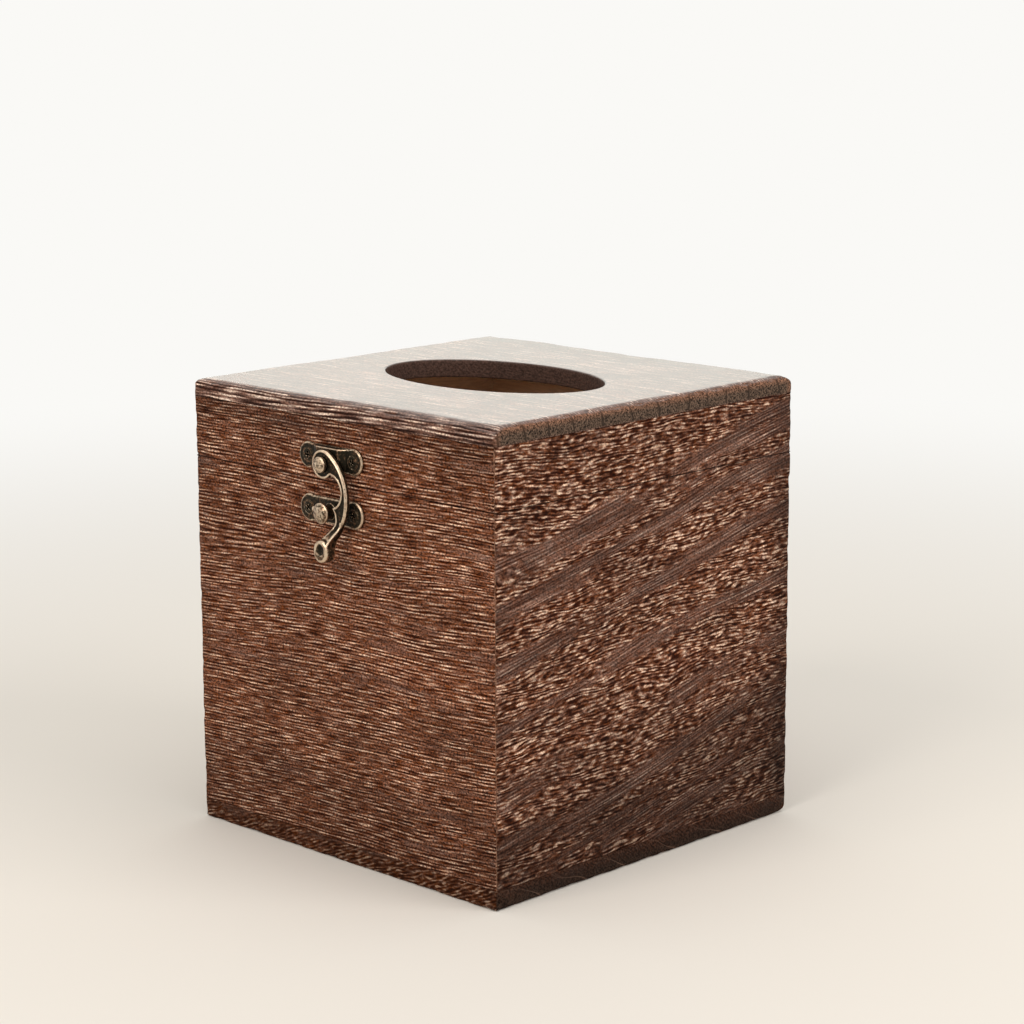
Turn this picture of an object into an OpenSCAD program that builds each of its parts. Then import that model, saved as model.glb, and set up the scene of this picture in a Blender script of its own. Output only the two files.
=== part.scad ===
// Tissue box cover: a mitred wooden box with a sawn-off hinged lid and a swing latch.
// Millimetres, +Z up. The origin is the centre of the underside. The latch is at the front, towards -Y.

/* [Box] */
// Width of the box from side to side
box_w = 140; // [124:1:220]
// Depth of the box from front to rear
box_d = 140; // [124:1:220]
// Height of the closed box
box_h = 151; // [120:1:240]
// Height of the lid, from the saw cut to the top
lid_h = 26; // [25:1:50]
// Thickness of the four walls
wall_t = 7; // [6.5:0.5:12]
// Thickness of the top board
top_t = 6; // [6:0.5:9]
// Thickness of the bottom board
bottom_t = 6.5; // [6:0.5:10]
// Width of the saw cut that is left between base and closed lid
seam_gap = 0.15; // [0.1:0.05:0.3]

/* [Rounded edges] */
// Radius of the upright corners
upright_edge_r = 1; // [0.5:0.1:2]
// Radius along the front edge of the top board
top_front_r = 3.5; // [1:0.5:5]
// Radius along the rear edge of the top board
top_rear_r = 5.5; // [1:0.5:5.5]
// Radius along the two side edges of the top board
top_side_r = 2.5; // [1:0.5:5]
// Radius along the front edge of the bottom board
bottom_front_r = 0.8; // [0.4:0.1:4]
// Radius along the rear edge of the bottom board
bottom_rear_r = 5; // [0.5:0.5:5.5]
// Radius along the two side edges of the bottom board
bottom_side_r = 1.5; // [0.5:0.5:5]

/* [Tissue slot] */
// Length of the oval slot, from side to side
slot_l = 86.4; // [60:0.2:100]
// Width of the oval slot, from front to rear
slot_w = 54.2; // [30:0.2:70]
// Eased edge around the top of the slot
slot_edge = 0.8; // [0.4:0.1:1.5]

/* [Latch plates] */
// Distance of the latch from the middle of the front, towards the left
latch_offset = 1.7; // [-10:0.1:20]
// Length of each latch plate
plate_l = 29.4; // [28:0.2:34]
// Height of the ears of the upper plate
plate_ear_d = 8.6; // [7:0.1:10]
// Height of the ears of the lower plate
catch_ear_d = 9; // [7:0.1:10]
// How much lower than its ears the middle of a plate is
plate_waist = 0.6; // [0.2:0.1:1]
// Thickness of the plates
plate_t = 1.2; // [1:0.1:2]
// Height of the middle of the upper plate above its ears
plate_rise = 1.4; // [1:0.1:2]
// Half length of the raised middle, along its top
plate_crown = 5; // [5:0.1:5.4]
// Length of the slope at each end of the raised middle
plate_ramp = 2.6; // [2:0.1:2.8]
// Slope around the rim of both plates
plate_bevel = 0.35; // [0.1:0.05:0.5]
// Height of the upper plate's middle above the saw cut
plate_above_seam = 7.7; // [6:0.1:10]
// Depth of the lower plate's middle below the saw cut
catch_below_seam = 9.3; // [7:0.1:11]
// Distance between the two screws of a plate
plate_screw_spacing = 21; // [20.6:0.2:22]

/* [Catch post] */
// Radius of the post's neck, which the hook goes round
neck_r = 2.3; // [1.8:0.1:2.5]
// Radius of the post's head
post_head_r = 3.4; // [3:0.1:4]
// Thickness of the head at its rim
post_rim_t = 0.6; // [0.3:0.1:1]
// Height of the dome on the head
post_dome_h = 1.1; // [0.5:0.1:1.2]
// Radius of the boss that carries the post, at its foot
post_boss_r = 3; // [2.8:0.1:4]
// Height of that boss above the plate
post_boss_h = 0.6; // [0.4:0.1:1.2]
// Radius of the small nib beside the post
nib_r = 0.95; // [0.6:0.05:1]
// Height of the nib
nib_h = 1.6; // [1:0.1:2]
// Distance of the nib from the post
nib_offset = 6.9; // [6:0.1:7.1]

/* [Latch arm] */
// Thickness of the arm
arm_t = 2; // [1.5:0.1:2.5]
// Slack above and below the arm
arm_gap = 0.3; // [0.2:0.05:0.4]
// Radius of the eye round the pivot
eye_r = 4.6; // [4:0.1:5]
// Height of the pivot below the middle of the upper plate
pivot_drop = 1.4; // [1:0.1:1.8]
// Slope along the arm's outer edge
arm_bevel = 0.8; // [0.3:0.1:1]
// Radius of the hollow curve that leads from the arm's outer edge to the knob
tail_curve_r = 10; // [6:0.5:16]
// Radius of the finger knob's round ends
knob_r = 3.2; // [2.8:0.1:3.6]
// How much longer than wide the knob is
knob_stretch = 1; // [0.2:0.1:1.4]
// Thickness of the finger knob
knob_t = 4.2; // [3:0.1:4.8]
// Height of the knob's face above the arm's face
knob_lift = 5.6; // [5:0.1:6.5]
// Radius of the dimple in the knob
dimple_r = 1.9; // [1:0.1:2.2]
// Depth of that dimple
dimple_h = 0.7; // [0.3:0.1:1]
// Height of the dimple above the middle of the knob
dimple_rise = 0.6; // [0:0.1:0.8]
// Rounding round the knob
knob_round = 0.9; // [0.4:0.1:1.2]

/* [Pivot rivet] */
// Radius of the rivet's shank
rivet_r = 1.25; // [1:0.05:1.5]
// Radius of the rivet's head
rivet_head_r = 2.6; // [2:0.05:3]
// Thickness of the head at its rim
rivet_rim_t = 1.1; // [0.4:0.1:1.2]
// Height of the dome on the head
rivet_dome_h = 1; // [0.4:0.1:1.2]
// Running clearance round the shank
rivet_fit = 0.05; // [0.03:0.01:0.09]
// Slack below the rivet's head
rivet_slack = 0.1; // [0.05:0.05:0.15]

/* [Hinges] */
// Distance of each hinge's middle from the side of the box
hinge_inset = 32; // [28:0.5:46]
// Width of a hinge
hinge_w = 25; // [22:0.5:30]
// Height of a leaf, from the pin's axis to its edge
leaf_h = 10; // [9.5:0.1:12]
// Thickness of a leaf
leaf_t = 0.9; // [0.7:0.1:1.1]
// Radius of a leaf's corners
leaf_corner_r = 1.2; // [0.5:0.1:2]
// Outer radius of the knuckles
knuckle_r = 1.9; // [1.7:0.1:2.4]
// Radius of the hinge pin
pin_r = 1; // [0.8:0.05:1.2]
// Height of the peened heads of the pin
pin_head_h = 0.4; // [0.2:0.1:0.8]
// Running clearance round the pin
pin_fit = 0.05; // [0.03:0.01:0.09]
// Gap between neighbouring knuckles, and between knuckles and walls
knuckle_gap = 0.3; // [0.2:0.05:0.5]
// Distance between the two screws of a leaf
leaf_screw_spacing = 15; // [12:0.5:16]
// Height of a leaf's screws above the pin's axis
leaf_screw_h = 6.4; // [6:0.1:6.8]

/* [Screws] */
// Radius of a plate screw's head
plate_screw_head_r = 2.1; // [1.8:0.1:2.1]
// Radius of a plate screw's shank
plate_screw_r = 0.9; // [0.7:0.1:1.1]
// Radius of a hinge screw's head
leaf_screw_head_r = 1.8; // [1.5:0.1:1.9]
// Radius of a hinge screw's shank
leaf_screw_r = 0.8; // [0.6:0.1:1]
// Length of a screw below the plate's face
screw_l = 6; // [5:0.1:6.2]
// Depth of the slope under a screw's head
screw_head_h = 0.8; // [0.5:0.1:0.9]
// Height of the crown of a screw's head
screw_crown = 0.3; // [0.1:0.05:0.4]
// Width of the cross recess
recess_w = 0.55; // [0.4:0.05:0.7]
// Depth of the cross recess
recess_h = 0.6; // [0.3:0.05:0.7]
// Clearance round a screw
screw_fit = 0.05; // [0.03:0.01:0.1]

/* [Hidden] */
$fn = 64;

// One overrun serves every cut
cut_over = 0.5;
wood_colour = "#5b3a2a";
end_grain_colour = "#4a362b";
bronze_colour = "#6f6350";

// Levels of the box
seam_z = box_h - lid_h;
top_z = box_h - top_t;
front_y = -box_d / 2;
rear_y = box_d / 2;

// The oval's outline has this many points
oval_points = 144;

// Places of the latch on the front, and its levels outward from the front
latch_x = -latch_offset;
plate_z = seam_z + plate_above_seam;
catch_z = seam_z - catch_below_seam;
pivot_z = plate_z - pivot_drop;
reach = pivot_z - catch_z;
crown_level = plate_t + plate_rise;
arm_back = crown_level + arm_gap;
arm_front = arm_back + arm_t;
rivet_head_level = arm_front + rivet_slack;
post_head_level = arm_front + arm_gap;
knob_front = arm_front + knob_lift;
knob_back = knob_front - knob_t;
rivet_foot_level = 0.2;

// The arm's arcs and points, as shares of the reach from pivot to post
bow_centre_shares = [-0.36, -0.67];
hollow_centre_shares = [0.205, -0.532];
hollow_r_share = 0.34;
notch_centre_shares = [0.051, -1.077];
notch_r_share = 0.32;
tail_root_shares = [0.327, -1.205];
knob_centre_shares = [0.301, -1.7];
// The tail's inner edge meets the knob at this share of the knob's radius, beside the knob's middle
tail_foot_share = 0.8;
flare_start_share = -1.18;
flare_run_share = 0.46;
bow_centre = reach * bow_centre_shares;
bow_r = norm(bow_centre) + eye_r;
hollow_centre = reach * hollow_centre_shares;
notch_centre = reach * notch_centre_shares;
tail_root = reach * tail_root_shares;
knob_centre = reach * knob_centre_shares;
flare_start = reach * flare_start_share;
flare_run = reach * flare_run_share;
flare_rise = knob_front - arm_front;
// The hollow curve outside the tail touches the bow, and the knob too
tail_span = knob_centre - bow_centre;
tail_curve_reach = bow_r + tail_curve_r;
tail_curve_turn = acos((tail_curve_reach * tail_curve_reach + tail_span * tail_span
                        - (knob_r + tail_curve_r) * (knob_r + tail_curve_r))
                       / (2 * tail_curve_reach * norm(tail_span)));
tail_curve_angle = atan2(tail_span.y, tail_span.x) + tail_curve_turn;
tail_curve_way = [cos(tail_curve_angle), sin(tail_curve_angle)];
tail_curve_centre = bow_centre + tail_curve_reach * tail_curve_way;
// The sweep is drawn in this many steps
flare_steps = 12;
// Where the bevel on the bow ends, past the eye, in degrees about the bow's centre
bevel_end = 105;
// The arm's back leaves its flat later than its front does, by its thickness on a slope of 45 degrees
flare_lag = arm_t * tan(45 / 2);

// Place of the hinges, and their axis
hinge_x = box_w / 2 - hinge_inset;
hinge_y = rear_y + knuckle_r + knuckle_gap;
hinge_z = seam_z;
knuckle_count = 3;
knuckle_pitch = hinge_w / knuckle_count;
leaf_from_axis = knuckle_r + knuckle_gap;

// Screws: the point, the slack below it, the recess and the crown as shares of the head's radius
screw_point_h = 1.2;
pilot_slack = 0.3;
recess_l_share = 0.62;
crown_share = 0.75;
// How far the cross recess is turned, in degrees
recess_turn = 20;

// Puts what it holds on the front, with its own Z pointing out of the wood
module on_front(x, z) {
    translate([x, front_y, z]) rotate([90, 0, 0]) children();
}

// Puts what it holds on the rear, with its own Z pointing out of the wood
module on_rear(x, z) {
    translate([x, rear_y, z]) rotate([90, 0, 180]) children();
}

// What an edge of radius r loses
module corner_waste(r) {
    difference() {
        translate([-cut_over, -cut_over]) square(r + cut_over);
        translate([r, r]) circle(r);
    }
}

// Cross-section of a board, with radii for its lower left, lower right, upper right and upper left edges
module board_profile(w, t, radii) {
    corners = [[-w / 2, 0], [w / 2, 0], [w / 2, t], [-w / 2, t]];
    difference() {
        translate([-w / 2, 0]) square([w, t]);
        for (i = [0:3])
            if (radii[i] > 0)
                translate(corners[i]) rotate(90 * i) corner_waste(radii[i]);
    }
}

// A board that fills the box's plan, t thick from z up
module board(z, t, front_rear_radii, side_radii) {
    translate([0, 0, z]) intersection() {
        linear_extrude(t) box_plan();
        rotate([90, 0, 90]) linear_extrude(box_w, center = true) board_profile(box_d, t, front_rear_radii);
        rotate([90, 0, 0]) linear_extrude(box_d, center = true) board_profile(box_w, t, side_radii);
    }
}

// The box seen from above, with its upright corners rounded
module box_plan() {
    translate([0, front_y])
        board_profile(box_w, box_d, [upright_edge_r, upright_edge_r, upright_edge_r, upright_edge_r]);
}

// A wall with mitred ends. Its side 0 is the front, 1 the right, 2 the rear, 3 the left
module wall(side, z0, z1) {
    along = side % 2 == 0 ? box_w : box_d;
    across = side % 2 == 0 ? box_d : box_w;
    translate([0, 0, z0]) linear_extrude(z1 - z0) intersection() {
        box_plan();
        rotate(90 * side) polygon([
            [-along / 2, -across / 2], [along / 2, -across / 2],
            [along / 2 - wall_t, -across / 2 + wall_t], [-along / 2 + wall_t, -across / 2 + wall_t]]);
    }
}

module base_wall(side) {
    wall(side, bottom_t, seam_z - seam_gap / 2);
}

module lid_wall(side) {
    wall(side, seam_z + seam_gap / 2, top_z);
}

// Rounded rectangle centred on the origin
module rounded_plate(w, h, r, t) {
    linear_extrude(t) translate([0, -h / 2]) board_profile(w, h, [r, r, r, r]);
}

// Countersunk wood screw. Its own zero is the face that its head is flush with
module wood_screw(head_r, shank_r) {
    difference() {
        rotate_extrude() polygon([
            [0, -screw_l], [shank_r, -screw_l + screw_point_h], [shank_r, -screw_head_h],
            [head_r, 0], [head_r * crown_share, screw_crown], [0, screw_crown]]);
        for (turn = [0, 90])
            rotate(turn + recess_turn)
                translate([-head_r * recess_l_share, -recess_w / 2, screw_crown - recess_h])
                    cube([2 * head_r * recess_l_share, recess_w, recess_h + cut_over]);
    }
}

// What such a screw takes out of its plate and of the wood
module screw_hole(head_r, shank_r) {
    depth = screw_l + pilot_slack;
    translate([0, 0, -depth]) cylinder(h = depth, r = shank_r + screw_fit);
    translate([0, 0, -screw_head_h])
        cylinder(h = screw_head_h, r1 = shank_r + screw_fit, r2 = head_r + screw_fit);
    cylinder(h = screw_crown + cut_over, r = head_r + screw_fit);
}

// Runs what it holds at both screws of a latch plate, at the level of the plate's face
module at_plate_screws() {
    for (side = [-1, 1])
        translate([side * plate_screw_spacing / 2, 0, plate_t]) children();
}

// Runs what it holds at both screws of a hinge leaf; up is 1 for the lid's leaf, -1 for the base's
module at_leaf_screws(up) {
    for (side = [-1, 1])
        translate([side * leaf_screw_spacing / 2, up * leaf_screw_h, leaf_t]) children();
}

module plate_screw_holes() {
    at_plate_screws() screw_hole(plate_screw_head_r, plate_screw_r);
}

module leaf_screw_holes(up) {
    at_leaf_screws(up) screw_hole(leaf_screw_head_r, leaf_screw_r);
}

module both_hinges() {
    for (side = [-1, 1])
        on_rear(side * hinge_x, hinge_z) children();
}

// Flat cast plate with two round ears and a bevelled rim
module eared_plate(ear_d) {
    bar_h = ear_d - plate_waist;
    ear_x = (plate_l - ear_d) / 2;
    for (side = [-1, 1])
        translate([side * ear_x, 0, 0]) {
            cylinder(h = plate_t - plate_bevel, r = ear_d / 2);
            translate([0, 0, plate_t - plate_bevel])
                cylinder(h = plate_bevel, r1 = ear_d / 2, r2 = ear_d / 2 - plate_bevel);
        }
    rotate([90, 0, 90]) linear_extrude(2 * ear_x, center = true) polygon([
        [-bar_h / 2, 0], [bar_h / 2, 0], [bar_h / 2, plate_t - plate_bevel],
        [bar_h / 2 - plate_bevel, plate_t], [-bar_h / 2 + plate_bevel, plate_t],
        [-bar_h / 2, plate_t - plate_bevel]]);
}

// Dome-headed stud: a shank from foot to head, a rim and a dome, all turned about Z
module domed_stud(shank_r, foot, head, head_r, rim_t, dome_h) {
    dome_r = (head_r * head_r + dome_h * dome_h) / (2 * dome_h);
    translate([0, 0, foot]) cylinder(h = head - foot, r = shank_r);
    translate([0, 0, head]) cylinder(h = rim_t, r = head_r);
    intersection() {
        translate([0, 0, head + rim_t + dome_h - dome_r]) sphere(dome_r);
        translate([0, 0, head + rim_t / 2]) cylinder(h = dome_h + rim_t, r = head_r);
    }
}

module bottom_panel() {
    color(end_grain_colour)
        board(0, bottom_t, [bottom_front_r, bottom_rear_r, 0, 0], [bottom_side_r, bottom_side_r, 0, 0]);
}

module base_front_wall() {
    color(wood_colour) difference() {
        base_wall(0);
        on_front(latch_x, catch_z) plate_screw_holes();
    }
}

module base_right_wall() {
    color(wood_colour) base_wall(1);
}

module base_rear_wall() {
    color(wood_colour) difference() {
        base_wall(2);
        both_hinges() leaf_screw_holes(-1);
    }
}

module base_left_wall() {
    color(wood_colour) base_wall(3);
}

// Points of an ellipse with half axes a and b
function ellipse_points(a, b) = [for (i = [0:oval_points - 1])
    [a * cos(360 * i / oval_points), b * sin(360 * i / oval_points)]];

module top_panel() {
    a = slot_l / 2;
    b = slot_w / 2;
    color(end_grain_colour) difference() {
        board(top_z, top_t, [0, 0, top_rear_r, top_front_r], [0, 0, top_side_r, top_side_r]);
        translate([0, 0, top_z - cut_over])
            linear_extrude(top_t + 2 * cut_over) polygon(ellipse_points(a, b));
        translate([0, 0, box_h - slot_edge])
            linear_extrude(slot_edge, scale = [(a + slot_edge) / a, (b + slot_edge) / b], slices = 1)
                polygon(ellipse_points(a, b));
    }
}

module lid_front_wall() {
    color(wood_colour) difference() {
        lid_wall(0);
        on_front(latch_x, plate_z) plate_screw_holes();
    }
}

module lid_right_wall() {
    color(wood_colour) lid_wall(1);
}

module lid_rear_wall() {
    color(wood_colour) difference() {
        lid_wall(2);
        both_hinges() leaf_screw_holes(1);
    }
}

module lid_left_wall() {
    color(wood_colour) lid_wall(3);
}

// Upper plate, with a raised middle that the arm lies on
module latch_plate() {
    crown_h = plate_ear_d - plate_waist;
    color(bronze_colour) on_front(latch_x, plate_z) difference() {
        union() {
            eared_plate(plate_ear_d);
            rotate([90, 0, 0]) linear_extrude(crown_h - 2 * plate_bevel, center = true) polygon([
                [-plate_crown - plate_ramp, plate_t - plate_bevel], [-plate_crown - plate_ramp, plate_t],
                [-plate_crown, crown_level], [plate_crown, crown_level],
                [plate_crown + plate_ramp, plate_t], [plate_crown + plate_ramp, plate_t - plate_bevel]]);
        }
        plate_screw_holes();
        translate([0, -pivot_drop, -cut_over])
            cylinder(h = crown_level + 2 * cut_over, r = rivet_r + rivet_fit);
    }
}

module latch_plate_screws() {
    color(bronze_colour) on_front(latch_x, plate_z)
        at_plate_screws() wood_screw(plate_screw_head_r, plate_screw_r);
}

module latch_rivet() {
    color(bronze_colour) on_front(latch_x, pivot_z)
        domed_stud(rivet_r, rivet_foot_level, rivet_head_level, rivet_head_r, rivet_rim_t, rivet_dome_h);
}

// Lower plate, with the mushroom post that the hook closes on
module catch_plate() {
    color(bronze_colour) on_front(latch_x, catch_z) difference() {
        union() {
            eared_plate(catch_ear_d);
            translate([0, 0, plate_t])
                cylinder(h = post_boss_h, r1 = post_boss_r, r2 = (post_boss_r + neck_r) / 2);
            domed_stud(neck_r, plate_t / 2, post_head_level, post_head_r, post_rim_t, post_dome_h);
            translate([-nib_offset, 0, 0])
                domed_stud(nib_r, plate_t / 2, plate_t, nib_r, nib_h - nib_r / 2, nib_r / 2);
        }
        plate_screw_holes();
    }
}

module catch_plate_screws() {
    color(bronze_colour) on_front(latch_x, catch_z)
        at_plate_screws() wood_screw(plate_screw_head_r, plate_screw_r);
}

// The arm's outline seen from the front, with the pivot at zero
module arm_outline() {
    eye_way = -bow_centre / norm(bow_centre);
    tail_way = (tail_root - knob_centre) / norm(tail_root - knob_centre);
    tail_side = [-tail_way.y, tail_way.x];
    circle(eye_r);
    difference() {
        intersection() {
            translate(bow_centre) circle(bow_r);
            polygon([[0, 0], eye_way * bow_r, [bow_r, bow_r], [bow_r, knob_centre.y],
                     knob_centre, tail_root, notch_centre, hollow_centre]);
        }
        translate(hollow_centre) circle(reach * hollow_r_share);
        translate(notch_centre) circle(reach * notch_r_share);
    }
    difference() {
        polygon([tail_root, knob_centre + tail_side * knob_r * tail_foot_share, knob_centre,
                 tail_curve_centre, bow_centre + bow_r * tail_curve_way]);
        translate(tail_curve_centre) circle(tail_curve_r);
    }
}

// From 0 to 1 in half a wave, level at both ends
function eased(t) = (1 - cos(180 * t)) / 2;

// The arm seen from the side, as [level, height]: flat from eye to hook, then it sweeps out to the knob
module arm_side() {
    far = eye_r + cut_over;
    foot = knob_centre.y - knob_r - knob_stretch;
    polygon(concat(
        [[arm_back, far], [arm_front, far]],
        [for (i = [0:flare_steps])
            [arm_front + flare_rise * eased(i / flare_steps), flare_start - flare_run * i / flare_steps]],
        [[knob_front, foot], [knob_back, foot]],
        [for (i = [flare_steps:-1:0])
            [arm_back + (knob_back - arm_back) * eased(i / flare_steps),
             flare_start - flare_lag - flare_run * i / flare_steps]]));
}

// One end of the finger knob, a disc with rounded rims
module knob() {
    translate([0, 0, knob_back]) rotate_extrude() intersection() {
        square([knob_r, knob_t]);
        union() {
            square([knob_r - knob_round, knob_t]);
            translate([0, knob_round]) square([knob_r, knob_t - 2 * knob_round]);
            translate([knob_r - knob_round, knob_round]) circle(knob_round);
            translate([knob_r - knob_round, knob_t - knob_round]) circle(knob_round);
        }
    }
}

module latch_arm() {
    dimple_ball_r = (dimple_r * dimple_r + dimple_h * dimple_h) / (2 * dimple_h);
    bevel_start = asin((flare_start - bow_centre.y) / bow_r);
    color(bronze_colour) on_front(latch_x, pivot_z) difference() {
        union() {
            intersection() {
                linear_extrude(knob_front + cut_over) arm_outline();
                rotate([0, -90, 0]) linear_extrude(4 * bow_r, center = true) arm_side();
            }
            for (side = [-1, 1])
                translate(knob_centre + [0, side * knob_stretch / 2]) knob();
        }
        translate([0, 0, arm_back - cut_over])
            cylinder(h = arm_t + 2 * cut_over, r = rivet_r + rivet_fit);
        translate([knob_centre.x, knob_centre.y + dimple_rise, knob_front - dimple_h + dimple_ball_r])
            sphere(dimple_ball_r);
        translate(bow_centre) rotate(bevel_start) rotate_extrude(angle = bevel_end - bevel_start) polygon([
            [bow_r - arm_bevel - cut_over, arm_front + cut_over], [bow_r + cut_over, arm_front + cut_over],
            [bow_r + cut_over, arm_front - arm_bevel - cut_over]]);
    }
}

// One leaf of a hinge about its pin's axis; up is 1 for the lid's leaf, -1 for the base's
module hinge_leaf(up) {
    own = up > 0 ? [1] : [0, 2];
    others = up > 0 ? [0, 2] : [1];
    axis_level = hinge_y - rear_y;
    edge = seam_gap / 2;
    difference() {
        union() {
            difference() {
                translate([0, up * (leaf_h + edge) / 2, 0])
                    rounded_plate(hinge_w, leaf_h - edge, leaf_corner_r, leaf_t);
                for (i = others)
                    knuckle_span(i, leaf_from_axis, knuckle_gap);
            }
            for (i = own)
                knuckle_span(i, knuckle_r, -knuckle_gap / 2);
        }
        translate([0, 0, axis_level]) rotate([0, 90, 0])
            cylinder(h = hinge_w + 2 * cut_over, r = pin_r + pin_fit, center = true);
        leaf_screw_holes(up);
    }
}

// Cylinder of radius r over knuckle i, longer by grow in all
module knuckle_span(i, r, grow) {
    middle = (i - (knuckle_count - 1) / 2) * knuckle_pitch;
    translate([middle, 0, hinge_y - rear_y]) rotate([0, 90, 0])
        cylinder(h = knuckle_pitch + grow, r = r, center = true);
}

// Hinge pin with a peened head at each end
module hinge_pin() {
    translate([0, 0, hinge_y - rear_y]) rotate([0, 90, 0]) {
        cylinder(h = hinge_w, r = pin_r, center = true);
        for (side = [0, 1])
            mirror([0, 0, side]) translate([0, 0, hinge_w / 2])
                cylinder(h = pin_head_h, r1 = (pin_r + knuckle_r) / 2, r2 = pin_r);
    }
}

module hinge_left_base_leaf() {
    color(bronze_colour) on_rear(-hinge_x, hinge_z) hinge_leaf(-1);
}

module hinge_right_base_leaf() {
    color(bronze_colour) on_rear(hinge_x, hinge_z) hinge_leaf(-1);
}

module hinge_left_lid_leaf() {
    color(bronze_colour) on_rear(-hinge_x, hinge_z) hinge_leaf(1);
}

module hinge_right_lid_leaf() {
    color(bronze_colour) on_rear(hinge_x, hinge_z) hinge_leaf(1);
}

module hinge_left_pin() {
    color(bronze_colour) on_rear(-hinge_x, hinge_z) hinge_pin();
}

module hinge_right_pin() {
    color(bronze_colour) on_rear(hinge_x, hinge_z) hinge_pin();
}

module hinge_base_screws() {
    color(bronze_colour) both_hinges() at_leaf_screws(-1) wood_screw(leaf_screw_head_r, leaf_screw_r);
}

module hinge_lid_screws() {
    color(bronze_colour) both_hinges() at_leaf_screws(1) wood_screw(leaf_screw_head_r, leaf_screw_r);
}

bottom_panel();
base_front_wall();
base_rear_wall();
base_left_wall();
base_right_wall();
catch_plate();
catch_plate_screws();
hinge_left_base_leaf();
hinge_right_base_leaf();
hinge_left_pin();
hinge_right_pin();
hinge_base_screws();
top_panel();
lid_front_wall();
lid_rear_wall();
lid_left_wall();
lid_right_wall();
latch_plate();
latch_plate_screws();
latch_rivet();
hinge_left_lid_leaf();
hinge_right_lid_leaf();
hinge_lid_screws();
latch_arm();
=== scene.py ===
import math

import bmesh
import bpy
import numpy as np
from mathutils import Matrix, Vector, kdtree


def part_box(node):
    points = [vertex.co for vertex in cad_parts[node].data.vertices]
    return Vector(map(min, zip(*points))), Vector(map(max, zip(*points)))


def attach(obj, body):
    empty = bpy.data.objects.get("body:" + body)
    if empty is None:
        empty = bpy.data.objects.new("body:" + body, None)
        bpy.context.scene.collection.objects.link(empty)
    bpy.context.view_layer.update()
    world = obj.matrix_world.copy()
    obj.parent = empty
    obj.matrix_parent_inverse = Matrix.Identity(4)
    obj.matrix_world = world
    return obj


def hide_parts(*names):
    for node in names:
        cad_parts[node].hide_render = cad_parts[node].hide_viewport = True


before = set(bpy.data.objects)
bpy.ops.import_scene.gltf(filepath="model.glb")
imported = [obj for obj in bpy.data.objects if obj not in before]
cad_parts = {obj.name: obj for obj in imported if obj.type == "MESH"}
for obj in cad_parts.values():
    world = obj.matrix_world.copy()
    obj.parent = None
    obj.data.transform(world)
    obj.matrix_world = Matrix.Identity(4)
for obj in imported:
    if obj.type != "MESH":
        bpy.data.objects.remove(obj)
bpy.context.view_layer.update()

bl_info = {
    "name": "Tissue box cover",
    "version": (1, 0, 0),
    "blender": (4, 5, 0),
    "location": "3D View > Sidebar > Tissue box",
    "description": "Dresses the wooden tissue box cover: brushed boards, cast latch, hinges, screws and stage",
    "category": "Object",
}

MM = 0.001
SIDES = ("front", "right", "rear", "left")

# Sizes of the box, read from the frame
HALF_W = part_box("top_panel")[1].x
HALF_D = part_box("top_panel")[1].y
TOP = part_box("top_panel")[1].z
TOP_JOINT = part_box("top_panel")[0].z
BOTTOM_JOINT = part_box("bottom_panel")[1].z
SAW_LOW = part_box("base_front_wall")[1].z
SAW_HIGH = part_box("lid_front_wall")[0].z
WALL_T = HALF_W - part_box("base_right_wall")[0].x

# A point nearer to a face than this lies on it
TOUCH = 0.01 * MM
# Beginnings of the kinds of node that aren't shader nodes
OTHER_FAMILIES = ("GeometryNode", "FunctionNode", "NodeGroup")


def linear(hex_colour):
    """Linear colour of an sRGB hex value."""
    channels = [int(hex_colour[i:i + 2], 16) / 255 for i in (1, 3, 5)]
    return tuple(c / 12.92 if c <= 0.04045 else ((c + 0.055) / 1.055) ** 2.4 for c in channels)


def add_node(tree, kind, inputs=None, out=None, **settings):
    """Adds a node and returns the output called out, or the first one in use. Inputs hold a value or a socket by
    name or number, settings are the node's own properties. A kind without a family is a shader node."""
    made = tree.nodes.new(kind if kind.startswith(OTHER_FAMILIES) else f"ShaderNode{kind}")
    for name, value in settings.items():
        setattr(made, name, value)
    for key, value in (inputs or {}).items():
        if isinstance(value, bpy.types.NodeSocket):
            tree.links.new(value, made.inputs[key])
        else:
            made.inputs[key].default_value = value
    return made.outputs[out] if out else next((socket for socket in made.outputs if socket.enabled), None)


# Properties that a user would change

class WoodSettings(bpy.types.PropertyGroup):
    """Sizes and colours of the charred and brushed boards."""
    mesh_step: bpy.props.FloatProperty(
        name="Mesh step", description="Height of a mesh cell on the faces of the boards",
        default=0.5 * MM, min=0.2 * MM, max=5 * MM, unit="LENGTH")
    relief: bpy.props.FloatProperty(
        name="Relief", description="Depth that the wire brush took out between the grain lines",
        default=0.12 * MM, min=0.0, max=1 * MM, unit="LENGTH")
    wear: bpy.props.FloatProperty(
        name="Wear", description="Depth of the dents along the edges",
        default=0.25 * MM, min=0.0, max=1 * MM, unit="LENGTH")
    char: bpy.props.FloatVectorProperty(
        name="Char", description="Colour of the burnt hollows between the grain lines",
        default=linear("#2a0f05"), size=3, min=0.0, max=1.0, subtype="COLOR")
    brown: bpy.props.FloatVectorProperty(
        name="Brown", description="Colour of the toasted wood",
        default=linear("#80513a"), size=3, min=0.0, max=1.0, subtype="COLOR")
    gold: bpy.props.FloatVectorProperty(
        name="Gold", description="Colour of the grain lines that the brush laid bare",
        default=linear("#d8b498"), size=3, min=0.0, max=1.0, subtype="COLOR")
    raw: bpy.props.FloatVectorProperty(
        name="Raw wood", description="Colour of the inside, which neither torch nor brush reached",
        default=linear("#eed4bc"), size=3, min=0.0, max=1.0, subtype="COLOR")
    bore: bpy.props.FloatVectorProperty(
        name="Slot edge", description="Colour of the sawn and burnt edge of the slot",
        default=linear("#4e3b34"), size=3, min=0.0, max=1.0, subtype="COLOR")


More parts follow.
